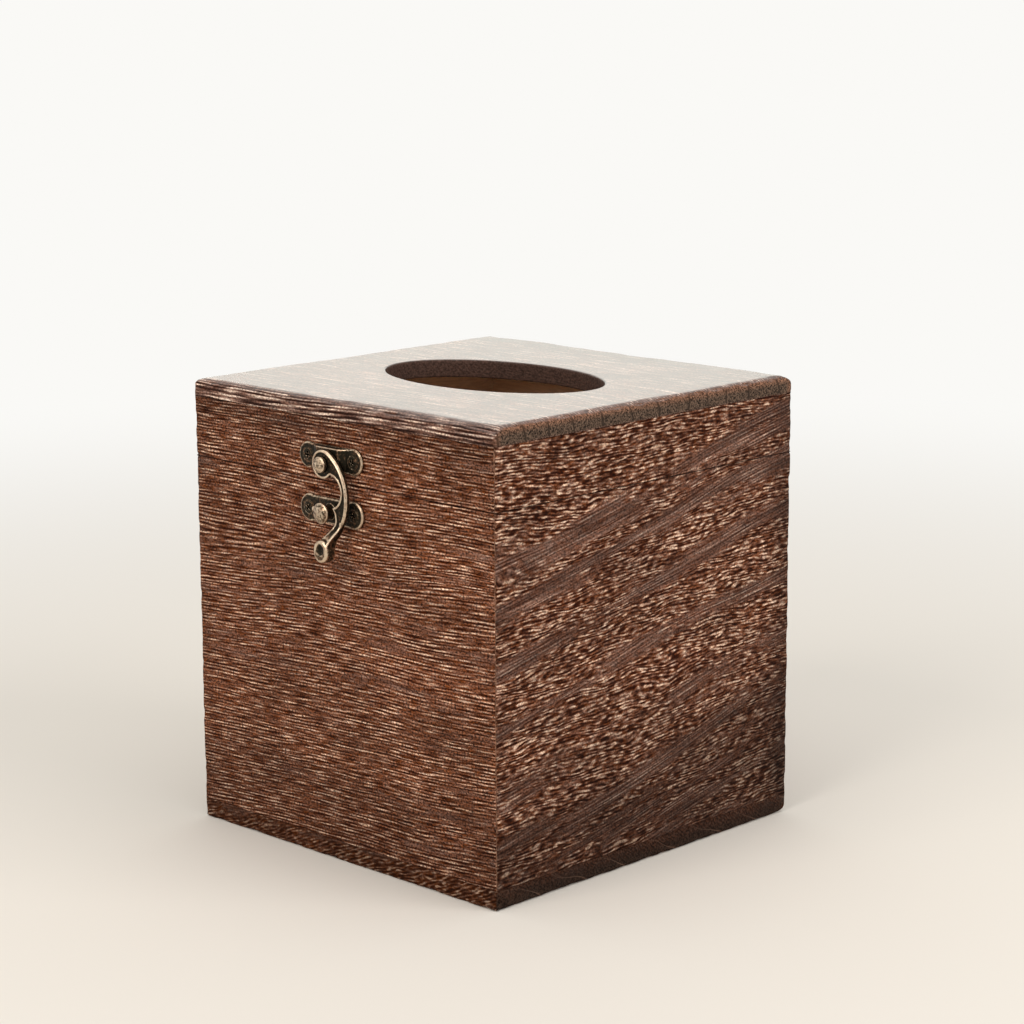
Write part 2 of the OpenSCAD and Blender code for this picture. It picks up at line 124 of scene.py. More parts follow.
class BronzeSettings(bpy.types.PropertyGroup):
    """Sizes and colours of the cast latch and the hinges."""
    voxel: bpy.props.FloatProperty(
        name="Mesh step", description="Size of a mesh cell on the cast pieces",
        default=0.13 * MM, min=0.05 * MM, max=1 * MM, unit="LENGTH")
    # Patina also goes on the parts close to the box as painted shade, worn metal on those far out as painted light
    patina: bpy.props.FloatVectorProperty(
        name="Patina", description="Colour of the dark hollows",
        default=linear("#242019"), size=3, min=0.0, max=1.0, subtype="COLOR")
    bronze: bpy.props.FloatVectorProperty(
        name="Bronze", description="Colour of the open faces",
        default=linear("#463c2f"), size=3, min=0.0, max=1.0, subtype="COLOR")
    worn: bpy.props.FloatVectorProperty(
        name="Worn metal", description="Colour of the edges that hands have polished",
        default=linear("#cfb89e"), size=3, min=0.0, max=1.0, subtype="COLOR")
    copper: bpy.props.FloatVectorProperty(
        name="Copper", description="Colour of the spots where the plating under the patina shows",
        default=linear("#7d573f"), size=3, min=0.0, max=1.0, subtype="COLOR")
    recess_width: bpy.props.FloatProperty(
        name="Recess width", description="Width of the cross recess of the screws",
        default=0.75 * MM, min=0.2 * MM, max=2 * MM, unit="LENGTH")
    recess_depth: bpy.props.FloatProperty(
        name="Recess depth", description="Depth of the cross recess of the screws",
        default=0.9 * MM, min=0.2 * MM, max=2 * MM, unit="LENGTH")


class StageSettings(bpy.types.PropertyGroup):
    """Camera, lamps and floor."""
    azimuth: bpy.props.FloatProperty(
        name="Azimuth", description="Direction of the camera, from the front towards the right",
        default=math.radians(44.54), subtype="ANGLE")
    elevation: bpy.props.FloatProperty(
        name="Elevation", description="Height of the camera above the horizon",
        default=math.radians(11.74), subtype="ANGLE")
    roll: bpy.props.FloatProperty(
        name="Roll", description="Turn of the camera about its own view",
        default=math.radians(0.26), subtype="ANGLE")
    distance: bpy.props.FloatProperty(
        name="Distance", description="Distance of the camera from the middle of the box",
        default=935.57 * MM, min=0.1, unit="LENGTH")
    aim_right: bpy.props.FloatProperty(
        name="Aim right", description="How far right of the middle the camera aims",
        default=5.84 * MM, unit="LENGTH")
    aim_up: bpy.props.FloatProperty(
        name="Aim up", description="How far above the middle the camera aims",
        default=29.36 * MM, unit="LENGTH")
    lens: bpy.props.FloatProperty(
        name="Lens", description="Focal length on a sensor 36 mm wide",
        default=97.88, min=10.0)
    floor: bpy.props.FloatVectorProperty(
        name="Floor", description="Colour of the paper under the box",
        default=linear("#ece8e2"), size=3, min=0.0, max=1.0, subtype="COLOR")
    backdrop: bpy.props.FloatVectorProperty(
        name="Backdrop", description="Colour that the floor fades into",
        default=linear("#faf9f6"), size=3, min=0.0, max=1.0, subtype="COLOR")


# Meshes

def link_object(name, data):
    """New object in the scene."""
    made = bpy.data.objects.new(name, data)
    bpy.context.scene.collection.objects.link(made)
    return made


def edit_object(name, edit):
    """New object in the scene with the mesh that was edited."""
    mesh = bpy.data.meshes.new(name)
    edit.to_mesh(mesh)
    edit.free()
    return link_object(name, mesh)


def read(items, key, kind=float, width=3):
    """Array of a property of a mesh's items, a row for each."""
    values = np.empty(width * len(items), kind)
    items.foreach_get(key, values)
    return values.reshape(-1, width)


def add_attribute(mesh, name, values, kind="FLOAT"):
    """Adds an attribute to the points of a mesh."""
    made = mesh.attributes.new(name, kind, "POINT")
    key = "value" if kind == "FLOAT" else "vector"
    made.data.foreach_set(key, np.ascontiguousarray(values, np.float32).ravel())


def rising(values, start, span):
    """0 up to the start, and 1 from a span further on."""
    return np.clip((values - start) / span, 0, 1)


def grid_object(name, rings, wrap, attributes, along):
    """Closed mesh from rings of points, each ring closed. Open ends get a face each. Along is the grain's way."""
    count, size = rings.shape[:2]
    points = rings.reshape(-1, 3)
    last = count if wrap else count - 1
    i, j = np.meshgrid(np.arange(last), np.arange(size), indexing="ij")
    i_next, j_next = (i + 1) % count, (j + 1) % size
    quads = np.stack([i * size + j, i_next * size + j, i_next * size + j_next, i * size + j_next], -1)
    faces = quads.reshape(-1, 4).tolist()
    if not wrap:
        faces.append(list(range(size)))
        faces.append([(count - 1) * size + k for k in reversed(range(size))])
    mesh = bpy.data.meshes.new(name)
    mesh.from_pydata(points.tolist(), [], faces)
    edit = bmesh.new()
    edit.from_mesh(mesh)
    bmesh.ops.recalc_face_normals(edit, faces=edit.faces)
    edit.to_mesh(mesh)
    edit.free()
    normals = read(mesh.vertex_normals, "vector", np.float32)
    # Where a face looks along the grain, and where it looks up
    end = rising(abs(normals @ np.array(along)), 0.6, 0.3)
    level = rising(normals[:, 2], 0.45, 0.4)
    for key, values in {**attributes, "end": end, "level": level}.items():
        add_attribute(mesh, key, values)
    mesh.shade_smooth()
    return link_object(name, mesh)


def spread(low, high, step, fine=0.0, reach=0.0):
    """Places from low to high, a step apart, and only fine apart within reach of both ends."""
    middle = np.linspace(low + reach, high - reach, max(2, round((high - low - 2 * reach) / step) + 1))
    if not fine:
        return middle
    edge = np.linspace(0, reach, max(2, round(reach / fine) + 1))[:-1]
    return np.concatenate([low + edge, middle, high - edge[::-1]])


def wave(points, size, seed):
    """Smooth noise from -1 to 1 over points, with bumps of that size."""
    rng = np.random.default_rng(seed)
    total = np.zeros(len(points))
    waves = 24
    for _ in range(waves):
        way = rng.normal(size=3)
        way *= 2 * math.pi / (size * rng.uniform(0.7, 1.6)) / np.linalg.norm(way)
        total += np.sin(points @ way + rng.uniform(0, 2 * math.pi))
    return np.clip(total / math.sqrt(waves), -1.5, 1.5) / 1.5


def quarter_round(a, b, radius):
    """Brings points that lie a and b inside two faces onto the rounding of their edge. Says which moved too."""
    u, v = radius - a, radius - b
    reach = np.hypot(u, v)
    moved = (u > 0) & (v > 0) & (reach > radius)
    shrink = np.where(moved, radius / np.maximum(reach, 1e-12), 1)
    return radius - u * shrink, radius - v * shrink, moved


def round_corner(points, axes, corner, inward, radius):
    """Brings points near one long edge of the box onto its rounding, whose radius may change along it."""
    a, b = (inward[k] * (points[:, axes[k]] - corner[k]) for k in (0, 1))
    *inside, moved = quarter_round(a, b, radius)
    for k in (0, 1):
        points[:, axes[k]] = np.where(moved, corner[k] + inward[k] * inside[k], points[:, axes[k]])


def distances(points):
    """How far points lie under the nearest face of the box, and from the nearest of its edges."""
    depth = np.stack([HALF_W - abs(points[:, 0]), HALF_D - abs(points[:, 1]),
                      np.minimum(points[:, 2], TOP - points[:, 2])], -1)
    depth.sort(axis=1)
    return depth[:, 0], depth[:, 1]


def worn_box(points, wear, boards):
    """Rounds and dents the long edges of the box, as the sander and use left them."""
    long_sway, short_sway, big_dent, small_dent = 34 * MM, 9 * MM, 6 * MM, 2.4 * MM
    upright_radius = 1.0 * MM
    dent_reach, chip_reach, chip_height, chip_depth = 5 * MM, 2 * MM, 0.7 * MM, 1.6 * wear
    skin, arris = distances(points)
    outer = skin < TOUCH
    shaped = points.copy()
    drift = 1 + 0.22 * wave(points, long_sway, 11) + 0.1 * wave(points, short_sway, 12)
    if boards:
        # Place of each long edge, its ways into the wood, and its radius in mm. The front edge of the top was
        # sanded more towards its right end
        sanded = 1 + 0.5 * np.clip(points[:, 0] / HALF_W, -0.4, 1)
        for (y, z), inward, radius in (
                ((-HALF_D, TOP), (1, -1), 3.4 * sanded), ((HALF_D, TOP), (-1, -1), 5.4),
                ((-HALF_D, 0), (1, 1), 0.8), ((HALF_D, 0), (-1, 1), 5.0)):
            round_corner(shaped, (1, 2), (y, z), inward, radius * MM * drift)
        for (x, z), inward, radius in (
                ((-HALF_W, TOP), (1, -1), 3.8), ((HALF_W, TOP), (-1, -1), 2.6),
                ((-HALF_W, 0), (1, 1), 1.5), ((HALF_W, 0), (-1, 1), 1.5)):
            round_corner(shaped, (0, 2), (x, z), inward, radius * MM * drift)
    for x, y in ((-1, -1), (1, -1), (1, 1), (-1, 1)):
        round_corner(shaped, (0, 1), (x * HALF_W, y * HALF_D), (-x, -y), upright_radius * drift)
    near = np.clip(1 - arris / dent_reach, 0, 1) ** 2
    dent = wear * near * np.clip(0.35 + wave(points, big_dent, 13) + 0.6 * wave(points, small_dent, 14), 0, 1.5)
    # The saw chipped the upright corners beside its cut
    cut_height = abs(points[:, 2] - (SAW_LOW + SAW_HIGH) / 2)
    dent += chip_depth * np.exp(-(cut_height / chip_height) ** 2) * np.clip(1 - arris / chip_reach, 0, 1)
    # Dents go towards the nearest point of a smaller box inside
    margin = 6 * MM
    low, high = [margin - HALF_W, margin - HALF_D, margin], [HALF_W - margin, HALF_D - margin, TOP - margin]
    way = shaped - np.clip(shaped, low, high)
    way /= np.maximum(np.linalg.norm(way, axis=1, keepdims=True), 1e-9)
    shaped -= np.where(outer, dent, 0)[:, None] * way
    return shaped, outer.astype(float), arris


def unstained(points, level):
    """1 where a board faces the inside of the box at that height, away from its joint with the walls."""
    clear = np.minimum(HALF_W - abs(points[:, 0]), HALF_D - abs(points[:, 1])) > WALL_T - 0.5 * MM
    return (clear & (abs(points[:, 2] - level) < TOUCH)).astype(float)


# Length of a mesh cell along the grain, and how far from the ends the cells are finer
LONG_STEP, END_REACH = 1.6 * MM, 3 * MM


def wall_object(name, side, low, high, wear, step):
    """Wall of the box with mitred ends, its outer face a fine grid that the brush can cut."""
    ease, inner_step, edge_step, end_step = 0.2 * MM, 4 * MM, 1.0 * MM, 0.3 * MM
    outer = spread(low + ease, high - ease, step)
    inner = spread(low, high, inner_step)[::-1]
    across = spread(ease, WALL_T, edge_step)
    depth = np.concatenate([np.zeros(len(outer)), [0.3 * ease], across, np.full(len(inner) - 2, WALL_T),
                            across[::-1], [0.3 * ease]])
    height = np.concatenate([outer, [high - 0.3 * ease], np.full(len(across), high), inner[1:-1],
                             np.full(len(across), low), [low + 0.3 * ease]])
    along = (HALF_W, HALF_D)[side % 2]
    share = spread(-1, 1, LONG_STEP / along, end_step / along, END_REACH / along)
    x = share[:, None] * (along - depth[None, :])
    y = np.broadcast_to(-(HALF_D, HALF_W)[side % 2] + depth, x.shape)
    z = np.broadcast_to(height, x.shape)
    turn = np.array(Matrix.Rotation(side * math.pi / 2, 3, "Z"))
    points = np.stack([x, y, z], -1).reshape(-1, 3) @ turn.T
    shaped, skin, arris = worn_box(points, wear, boards=False)
    raw = np.broadcast_to(depth > WALL_T - TOUCH, x.shape).ravel()
    attributes = {"skin": skin, "arris": arris, "raw": raw}
    return grid_object(name, shaped.reshape(*x.shape, 3), False, attributes, turn[:, 0])


def bottom_object(name, wear, step):
    """Bottom board as rings round its own X axis."""
    cross_step, round_step, round_reach, end_step = 2 * MM, 0.6 * MM, 7 * MM, 0.5 * MM
    across = spread(-HALF_D, HALF_D, cross_step, round_step, round_reach)
    rise = spread(0, BOTTOM_JOINT, step)
    y = np.concatenate([across, np.full(len(rise) - 2, HALF_D), across[::-1], np.full(len(rise) - 2, -HALF_D)])
    z = np.concatenate([np.zeros(len(across)), rise[1:-1], np.full(len(across), BOTTOM_JOINT), rise[1:-1][::-1]])
    along = spread(-HALF_W, HALF_W, LONG_STEP, end_step, END_REACH)
    x = np.broadcast_to(along[:, None], (len(along), len(y)))
    points = np.stack([x, np.broadcast_to(y, x.shape), np.broadcast_to(z, x.shape)], -1).reshape(-1, 3)
    shaped, skin, arris = worn_box(points, wear, boards=True)
    attributes = {"skin": skin, "arris": arris, "raw": unstained(points, BOTTOM_JOINT)}
    return grid_object(name, shaped.reshape(*x.shape, 3), False, attributes, (1, 0, 0))


def top_object(name, wear, step):
    """Top board as a ring round its oval slot, so that every row of its mesh runs round the slot."""
    slot = slot_half_sizes()
    rim_step, ease = 1.2 * MM, 0.8 * MM
    side = spread(-1, 1, rim_step / HALF_W)[:-1]
    rim = np.concatenate([np.stack([side, -np.ones_like(side)], -1), np.stack([np.ones_like(side), side], -1),
                          np.stack([-side, np.ones_like(side)], -1), np.stack([-np.ones_like(side), -side], -1)])
    rim = rim * [HALF_W, HALF_D]
    oval = rim / np.hypot(rim[:, 0] / slot[0], rim[:, 1] / slot[1])[:, None]
    thick = TOP - TOP_JOINT
    # From the slot to the rim in shares of the way, finer near both
    flat = 1 - spread(0, 1, 1 / 52, 1 / 130, 0.1)[::-1]
    rise = spread(TOP_JOINT, TOP, step)
    share = np.concatenate([flat, np.ones(len(rise) - 2), flat[::-1], np.zeros(len(rise) - 2)])
    height = np.concatenate([np.full(len(flat), TOP), rise[1:-1][::-1], np.full(len(flat), TOP_JOINT), rise[1:-1]])
    points = oval[:, None] * (1 - share[None, :, None]) + rim[:, None] * share[None, :, None]
    points = np.concatenate([points, np.broadcast_to(height[None, :, None], (*points.shape[:2], 1))], -1)
    shape = points.shape
    points = points.reshape(-1, 3)
    shaped, skin, arris = worn_box(points, wear, boards=True)
    # The slot's upper edge is eased: what lies within the easing of both faces goes onto a quarter round
    ratio = np.hypot(points[:, 0] / slot[0], points[:, 1] / slot[1])
    radius = np.hypot(points[:, 0], points[:, 1])
    out = (ratio - 1) * radius / np.maximum(ratio, 1e-9)
    down = TOP - points[:, 2]
    new_out, new_down, moved = quarter_round(out, down, ease)
    scale = np.where(moved, 1 + (new_out - out) / np.maximum(radius, 1e-9), 1)
    shaped[:, :2] *= scale[:, None]
    shaped[:, 2] = np.where(moved, TOP - new_down, shaped[:, 2])
    arris = np.minimum(arris, np.where(down < thick / 2, abs(out) + down, thick))
    bore = (abs(out) < 0.05 * MM) & (down > 0.6 * ease) | moved
    attributes = {"skin": skin, "arris": arris, "bore": bore, "raw": unstained(points, TOP_JOINT)}
    return grid_object(name, shaped.reshape(shape), True, attributes, (1, 0, 0))


def slot_half_sizes():
    """Half length and half width of the oval slot, measured on the top board of the frame."""
    points = np.array([v.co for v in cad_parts["top_panel"].data.vertices])
    low = abs(points[abs(points[:, 2] - TOP_JOINT) < TOUCH])
    near, rim = 0.3 * MM, 1 * MM
    sizes = []
    for axis, half in ((0, HALF_W), (1, HALF_D)):
        on_axis = low[low[:, 1 - axis] < near, axis]
        sizes.append(on_axis[on_axis < half - rim].max())
    return np.array(sizes)


# Sawn ends of the walls: their colour and that of their edges, the width of a growth ring in mm, how thin its line
# is, and the line's tone
WALL_ENDS = dict(colour="#54453c", edge="#7d5d4b", ring=11.0, line=0.96, tone=0.45)
# Grain: how each board was cut, in mm and degrees from level. Along and across lie near its outer face.
# Ribbons of open grain, whose rows bend round lens-shaped pits, take turns with ribbons of plain grain,
# which follow the ribbon. Tilts are for the rows below and above the level called upper, ribbon_tilt for the ribbons.
# Spacing is from row to row. Lens is the length and height of a pit, slant how much it leans. Rows, lenses and fine
# are how strongly each kind of mark shows. Run and fibre are the length and thickness of a fine mark, thread is the
# length of a plain thread. Jitter is how much the rows waver, warp how much the ribbons sway, and ripple how much
# the rows bend, over bumps of ripple_size. Weave is the contrast of the pores, glint the dullest and brightest of the
# bare lines, red how much of the stain shows, sheen how much lacquer pooled, contrast that of dark and bare.
# A band is its place across the board, how open its grain is, and its tone. Burnt is where the torch began
# to stay longer, and the tone at the end of the board. Ends add the way across their rings
CUTS = {
    "front": dict(
        along=(1, 0, 0), across=(0, 0, 1), tilts=(3.0, 0.5), ribbon_tilt=1.0, upper=100.0, spacing=1.1,
        lens=(9, 1.2), rows=0.65, lenses=0.3, fine=4.2, run=7.5, fibre=0.66,
        jitter=4.0, thread=14.0, warp=0.55, slant=0.05, ripple=1.0, ripple_size=(26, 8), weave=0.85, glint=(0.6, 1.2),
        seed=3.0, red=0.94, sheen=0.0, contrast=1.0, burnt=(-52, 0.9),
        bands=((0, 0.65, 0.8), (14, 0.7, 0.86), (29, 0.5, 0.94), (34, 0.7, 1.1), (46, 0.65, 1.08), (61, 0.5, 1.1),
               (69, 0.7, 1.26), (79, 0.6, 1.16), (97, 0.55, 1.12), (105, 0.9, 1.28), (112, 0.6, 1.04),
               (118, 0.9, 1.18), (124, 0.6, 1.06), (130, 0.9, 1.12), (138, 0.6, 1.08), (141, 0.5, 0.86),
               (151, 0.5, 0.9)),
        ends=dict(WALL_ENDS, way=(0, 1, 0), colour="#5a4a40")),
    "right": dict(
        along=(0, 1, 0), across=(0, 0, 1), tilts=(2.0, -2.0), ribbon_tilt=12.5, upper=121.0, spacing=1.1,
        lens=(3.0, 1.0), rows=0.6, lenses=4.2, fine=4.1, run=2.6, fibre=0.62,
        jitter=4.0, thread=18.0, warp=0.7, slant=-0.12, ripple=3.2, ripple_size=(16, 6), weave=0.6, glint=(0.5, 1.3),
        seed=11.0, red=0.92, sheen=0.0, contrast=1.0, burnt=(54, 0.6),
        bands=((0, 0.5, 0.43), (28, 0.4, 0.48), (33, 0.2, 0.48), (40, 0.8, 0.83), (50, 0.3, 0.77), (58, 0.95, 1.01),
               (66, 0.75, 0.88), (71, 0.08, 0.9), (76, 0.75, 0.93), (84, 0.85, 0.93), (91, 0.08, 0.8),
               (98, 0.75, 0.92), (104, 0.5, 0.88), (110, 0.05, 0.84), (115, 0.6, 0.92), (121, 0.05, 0.9),
               (127, 0.4, 0.98), (134, 0.85, 0.90), (142, 0.95, 1.01), (150, 0.85, 0.90), (170, 0.85, 0.90)),
        ends=dict(WALL_ENDS, way=(1, 0, 0))),
    "rear": dict(
        along=(-1, 0, 0), across=(0, 0, 1), tilts=(2.0, 2.0), ribbon_tilt=5.0, upper=200.0, spacing=1.2,
        lens=(3.8, 1.1), rows=0.5, lenses=4.0, fine=3.8, run=3.4, fibre=0.75,
        jitter=4.0, thread=18.0, warp=0.8, slant=-0.12, ripple=2.8, ripple_size=(16, 6), weave=0.55, glint=(0.5, 1.3),
        seed=19.0, red=0.98, sheen=0.0, contrast=1.0, burnt=(50, 0.6),
        bands=((0, 0.5, 0.68), (20, 0.25, 0.77), (38, 0.7, 0.94), (52, 0.25, 0.88), (66, 0.8, 1.01),
               (80, 0.25, 0.90), (95, 0.7, 0.98), (108, 0.3, 0.88), (124, 0.8, 0.99), (140, 0.5, 0.90),
               (160, 0.5, 0.88)),
        ends=dict(WALL_ENDS, way=(0, 1, 0))),
    "left": dict(
        along=(0, -1, 0), across=(0, 0, 1), tilts=(-1.0, 3.0), ribbon_tilt=-9.0, upper=118.0, spacing=1.2,
        lens=(3.4, 1.05), rows=0.5, lenses=4.6, fine=3.4, run=3.0, fibre=0.75,
        jitter=4.0, thread=18.0, warp=0.8, slant=0.12, ripple=3.0, ripple_size=(16, 6), weave=0.5, glint=(0.5, 1.3),
        seed=27.0, red=0.95, sheen=0.0, contrast=1.0, burnt=(52, 0.6),
        bands=((0, 0.5, 0.59), (18, 0.7, 0.77), (30, 0.1, 0.74), (44, 0.85, 0.98), (58, 0.3, 0.88), (66, 0.06, 0.83),
               (82, 0.8, 0.99), (92, 0.06, 0.85), (104, 0.7, 0.94), (116, 0.06, 0.86), (130, 0.85, 0.99),
               (160, 0.6, 0.94)),
        ends=dict(WALL_ENDS, way=(1, 0, 0))),
    "top": dict(
        along=(1, 0, 0), across=(0, 0.8, 0.6), tilts=(0.5, 0.5), ribbon_tilt=0.5, upper=200.0, spacing=1.0,
        lens=(10, 1.4), rows=0.6, lenses=0.3, fine=4.8, run=12.0, fibre=0.8,
        jitter=3.0, thread=20.0, warp=0.6, slant=0.0, ripple=0.7, ripple_size=(20, 6), weave=0.6, glint=(0.7, 1.3),
        seed=35.0, red=0.7, sheen=1.0, contrast=1.3, burnt=(60, 0.9),
        bands=((30, 0.8, 1.20), (46, 0.6, 1.27), (60, 0.85, 1.37), (78, 0.5, 1.25), (96, 0.7, 1.32),
               (114, 0.5, 1.25), (132, 0.7, 1.2), (140, 0.6, 0.9), (150, 0.6, 0.85)),
        ends=dict(colour="#55453a", edge="#86604c", way=(0, 1, 0.12), ring=12.0, line=0.95, tone=0.4)),
    "bottom": dict(
        along=(1, 0, 0), across=(0, 0.6, 0.8), tilts=(18.0, 18.0), ribbon_tilt=8.0, upper=200.0, spacing=1.0,
        lens=(3.2, 1.0), rows=0.6, lenses=4.4, fine=2.8, run=3.0, fibre=0.6,
        jitter=4.0, thread=14.0, warp=0.9, slant=0.1, ripple=1.8, ripple_size=(6, 4), weave=0.5, glint=(0.4, 1.2),
        seed=43.0, red=1.0, sheen=0.0, contrast=0.85, burnt=(60, 0.8),
        bands=((-50, 0.7, 0.49), (-30, 0.4, 0.52), (0, 0.75, 0.56), (30, 0.4, 0.52), (50, 0.6, 0.52)),
        ends=dict(colour="#1f1814", edge="#33261f", way=(0, 0.37, 0.93), ring=8.0, line=0.99, tone=5.0)),
}


def stretched_noise(tree, place, size, seed, detail=0.0):
    """Noise round 0.5 whose bumps have that size in mm along the grain, across it and into the board."""
    spot = add_node(tree, "VectorMath", {
        0: place, 1: [1 / s for s in size], 2: (seed, 1.7 * seed, 0.6 * seed)}, operation="MULTIPLY_ADD")
    return add_node(tree, "TexNoise", {"Vector": spot, "Scale": 1.0, "Detail": detail})


def grain_nodes(tree, position, cut):
    """Adds the grain of a board to a shader or geometry tree. Position is in metres. Returns its sockets."""
    along, across = Vector(cut["along"]), Vector(cut["across"])
    seed, spacing, warp = cut["seed"], cut["spacing"], cut["warp"]
    u, v, w = [add_node(tree, "VectorMath", {0: position, 1: axis / MM}, operation="DOT_PRODUCT")
               for axis in (along, across, along.cross(across))]
    local = add_node(tree, "CombineXYZ", {0: u, 1: v, 2: w})
    # The ribbons cross the board on a slant and sway a little
    sway = stretched_noise(tree, local, (70, 40, 40), seed)
    sway = add_node(tree, "Math", {0: sway, 1: 9 * warp, 2: -4.5 * warp}, operation="MULTIPLY_ADD")
    swayed = add_node(tree, "Math", {0: sway, 1: v}, operation="ADD")
    ribbon_slope = -math.tan(math.radians(cut["ribbon_tilt"]))
    level = add_node(tree, "Math", {0: u, 1: ribbon_slope, 2: swayed}, operation="MULTIPLY_ADD")
    first, last = cut["bands"][0][0], cut["bands"][-1][0]
    share = add_node(tree, "MapRange", {0: level, 1: first, 2: last})
    ramp = add_node(tree, "ValToRGB", {0: share})
    stops = ramp.node.color_ramp.elements
    for i, (place, strength, tone) in enumerate(cut["bands"]):
        at = (place - first) / (last - first)
        stop = stops[0] if i == 0 else stops[-1] if i == len(cut["bands"]) - 1 else stops.new(at)
        stop.position = at
        stop.color = (strength, tone / 2, 0, 1)
    zone = add_node(tree, "SeparateXYZ", {0: ramp}).node.outputs
    ribbon = add_node(tree, "CombineXYZ", {0: u, 1: level, 2: w})
    patch = stretched_noise(tree, ribbon, (30, 4.5, 4.5), seed + 2, 1.0)
    figure = add_node(tree, "Math", {0: patch, 1: 1.5, 2: -0.75}, operation="MULTIPLY_ADD")
    figure = add_node(tree, "Math", {0: figure, 1: zone[0]}, operation="ADD", use_clamp=True)
    opened = add_node(tree, "MapRange", {0: figure, 1: 0.12, 2: 0.55}, interpolation_type="SMOOTHSTEP")
    # Plain grain: threads and lines as long as the ribbon
    threads = stretched_noise(tree, ribbon, (cut["thread"], 0.65, 0.65), seed + 9, 1.0)
    threads = add_node(tree, "Math", {0: threads, 1: 3.4, 2: -1.7}, operation="MULTIPLY_ADD")
    lines = stretched_noise(tree, ribbon, (cut["thread"], 2.0, 2.0), seed + 15)
    lines = add_node(tree, "Math", {0: lines, 1: 8.0}, operation="MULTIPLY")
    lines = add_node(tree, "Math", {0: level, 1: 2 * math.pi / spacing, 2: lines}, operation="MULTIPLY_ADD")
    lines = add_node(tree, "Math", {0: lines}, operation="SINE")
    threads = add_node(tree, "Math", {0: lines, 1: 0.45, 2: threads}, operation="MULTIPLY_ADD")
    sheet = stretched_noise(tree, ribbon, (1.6 * cut["thread"], 2.0, 2.0), seed + 10, 1.5)
    # Open grain: rows that bend round the pits. What is high between two pits becomes a fleck
    upper = add_node(tree, "MapRange", {0: level, 1: cut["upper"] - 3, 2: cut["upper"] + 3})
    slopes = [-math.tan(math.radians(tilt)) for tilt in cut["tilts"]]
    slope = add_node(tree, "Mix", {0: upper, 2: slopes[0], 3: slopes[1]})
    long, high = cut["ripple_size"]
    ripple = stretched_noise(tree, local, (long, high, high), seed + 1, 0.5)
    push = add_node(tree, "Math", {0: ripple, 1: cut["ripple"], 2: swayed}, operation="MULTIPLY_ADD")
    rise = add_node(tree, "Math", {0: u, 1: slope, 2: push}, operation="MULTIPLY_ADD")
    woven = add_node(tree, "CombineXYZ", {0: u, 1: rise, 2: w})
    jitter = stretched_noise(tree, woven, (2 * cut["run"], 1.6, 1.6), seed + 4)
    jitter = add_node(tree, "Math", {0: jitter, 1: cut["jitter"]}, operation="MULTIPLY")
    rows = add_node(tree, "Math", {0: rise, 1: 2 * math.pi / spacing, 2: jitter}, operation="MULTIPLY_ADD")
    rows = add_node(tree, "Math", {0: rows}, operation="SINE")
    long, high = cut["lens"]
    lean = add_node(tree, "Math", {0: u, 1: cut["slant"], 2: rise}, operation="MULTIPLY_ADD")
    leaning = add_node(tree, "CombineXYZ", {0: u, 1: lean, 2: w})
    lenses = stretched_noise(tree, leaning, (long, high, high), seed + 3, 0.5)
    fine = stretched_noise(tree, woven, (cut["run"], cut["fibre"], cut["fibre"]), seed + 12, 0.8)
    flecks = add_node(tree, "Math", {
        0: lenses, 1: cut["lenses"], 2: -0.5 * cut["lenses"] - 0.5 * cut["fine"]}, operation="MULTIPLY_ADD")
    flecks = add_node(tree, "Math", {0: fine, 1: cut["fine"], 2: flecks}, operation="MULTIPLY_ADD")
    flecks = add_node(tree, "Math", {0: rows, 1: cut["rows"], 2: flecks}, operation="MULTIPLY_ADD")
    field = add_node(tree, "Mix", {0: opened, 2: threads, 3: flecks})
    height = add_node(tree, "MapRange", {0: field, 1: -1.3, 2: 1.1}, interpolation_type="SMOOTHSTEP")
    crest = add_node(tree, "MapRange", {0: field, 1: 0.3, 2: 1.5}, interpolation_type="SMOOTHSTEP")
    return {"local": local, "woven": woven, "height": height, "crest": crest, "figure": opened, "sheet": sheet,
            "tone": zone[1], "u": u}


def shader_tree(owner):
    """Empty node tree of a material or a world."""
    owner.use_nodes = True
    owner.node_tree.nodes.clear()
    return owner.node_tree


